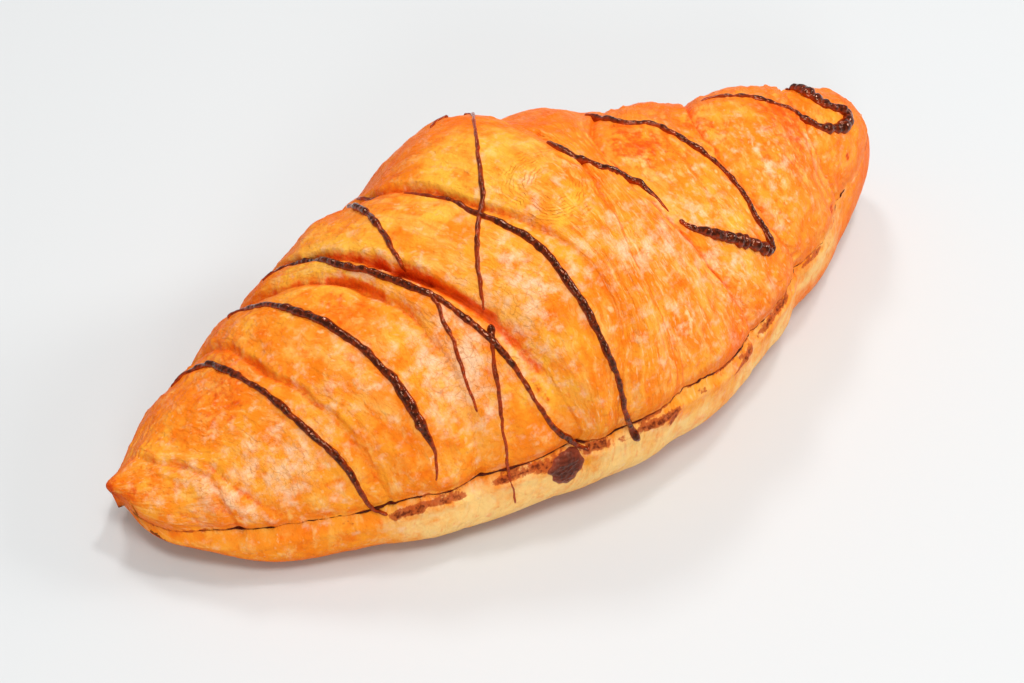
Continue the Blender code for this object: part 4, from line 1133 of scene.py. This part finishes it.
def setChocolate(name, look):
    # Chocolate melted and set again: nearly black brown with small glints on its beads, and red-brown
    # where it lies thin.
    material, tree, shader = newMaterial(name)
    place = addNode(tree, "TexCoord", {}, {}).outputs["Object"]
    thin = addNode(tree, "Attribute", {"attribute_name": "thin"}, {}).outputs["Fac"]
    limits = chocolateGrain["limits"]
    grain = addNode(tree, "TexNoise", {}, {
        "Vector": place, "Scale": 1 / (chocolateGrain["colour"] * mm), "Detail": 4.0}).outputs["Fac"]
    value = addNode(tree, "Math", {"operation": "MULTIPLY_ADD"}, {
        0: thin, 1: look["thinShare"], 2: grain}).outputs[0]
    mask = addNode(tree, "MapRange", {}, {
        "Value": value, "From Min": limits[0], "From Max": limits[1]}).outputs[0]
    colour = addNode(tree, "Mix", {"data_type": "RGBA"}, {
        0: mask, 6: linear(look["dark"]), 7: linear(look["light"])})
    tree.links.new(colour.outputs[2], shader.inputs["Base Color"])
    shader.inputs["Roughness"].default_value = look["rough"]
    shader.inputs["IOR"].default_value = chocolateGrain["ior"]
    shader.inputs["Specular IOR Level"].default_value = look["specular"]
    shader.inputs["Specular Tint"].default_value = linear(look["gloss"])
    pits = addNode(tree, "TexNoise", {}, {
        "Vector": place, "Scale": 1 / (chocolateGrain["pits"] * mm), "Detail": 1.0}).outputs["Fac"]
    bump = addNode(tree, "Bump", {}, {
        "Strength": look["bump"], "Distance": chocolateGrain["pitDepth"] * mm, "Height": pits})
    tree.links.new(bump.outputs[0], shader.inputs["Normal"])
    return material


darkLook = dict(dark="#330900", light="#a8360a", gloss="#ffbf9c", thinShare=0.42, rough=0.10, specular=0.55,
                bump=0.5)
fillingLook = dict(dark="#3a0f06", light="#7a260d", gloss="#ffc0a0", thinShare=0.0, rough=0.45, specular=0.2,
                   bump=0.5)
dripLook = dict(dark="#42150c", light="#8a3a24", gloss="#ffc8ac", thinShare=0.5, rough=0.33, specular=0.3,
                bump=0.9)


# Floor, light and camera: each light's place, size, power and colour.
studio = dict(
    floor=1.6, floorColour="#d0d2d3", world=0.41, worldColour="#fafafb",
    lights=(
        ((-0.10, -0.40, 1.20), 0.34, 6.2, "#fffefa"),
        ((0.20, 0.80, 1.15), 0.24, 4.2, "#ffffff"),
        ((-0.55, -0.85, 0.45), 0.28, 2.7, "#ffffff"),
        ((0.95, -0.40, 0.60), 0.30, 4.6, "#ffffff"),
        ((0.35, 0.10, 1.05), 0.12, 2.8, "#ffffff"),
    ),
)
view = dict(lens=65.0, sensor=36.0, target=(-1.82, 0.99, 0.0), distance=402.0, turn=34.43, height=45.2)


def buildStudio():
    half = studio["floor"]
    mesh = bpy.data.meshes.new("floor")
    corners = [(-half, -half, 0), (half, -half, 0), (half, half, 0), (-half, half, 0)]
    mesh.from_pydata(corners, [], [(0, 1, 2, 3)])
    material, tree, shader = newMaterial("matt pale board")
    shader.inputs["Base Color"].default_value = linear(studio["floorColour"])
    shader.inputs["Roughness"].default_value = 0.6
    mesh.materials.append(material)
    floor = bpy.data.objects.new("floor", mesh)
    bpy.context.scene.collection.objects.link(floor)
    world = bpy.data.worlds.new("soft room")
    bpy.context.scene.world = world
    world.use_nodes = True
    background = world.node_tree.nodes["Background"]
    background.inputs["Color"].default_value = linear(studio["worldColour"])
    background.inputs["Strength"].default_value = studio["world"]
    for number, (place, size, power, colour) in enumerate(studio["lights"], start=1):
        light = bpy.data.lights.new(f"softbox{number}", "AREA")
        light.size, light.energy, light.color = size, power, linear(colour)[:3]
        lamp = bpy.data.objects.new(light.name, light)
        lamp.location = place
        lamp.rotation_euler = (-Vector(place)).to_track_quat("-Z", "Y").to_euler()
        bpy.context.scene.collection.objects.link(lamp)


def buildCamera():
    # on a circle round the target: turned round Z from the front, and raised
    turn, height = math.radians(view["turn"]), math.radians(view["height"])
    target = Vector(view["target"]) + Vector((0, shiftY, 0))
    back = Vector((-math.sin(turn) * math.cos(height), -math.cos(turn) * math.cos(height), math.sin(height)))
    data = bpy.data.cameras.new("camera")
    data.lens, data.sensor_width, data.clip_start = view["lens"], view["sensor"], 0.01
    camera = bpy.data.objects.new("camera", data)
    camera.location = (target + back * view["distance"]) * mm
    camera.rotation_euler = (-back).to_track_quat("-Z", "Y").to_euler()
    bpy.context.scene.collection.objects.link(camera)
    bpy.context.scene.camera = camera
    bpy.context.scene.view_settings.view_transform = "Standard"


shiftY = plainShift()
print("roll shifted by", round(float(shiftY), 3), "mm")
buildLid(bakedCrust("egg-washed baked dough", crustLook))
buildBase(bakedCrust("paler baked dough", crustLook))
buildFilling(setChocolate("melted filling", fillingLook))
buildDrizzle(setChocolate("set chocolate", darkLook))
buildDrip(setChocolate("smeared chocolate", dripLook))
buildStudio()
buildCamera()
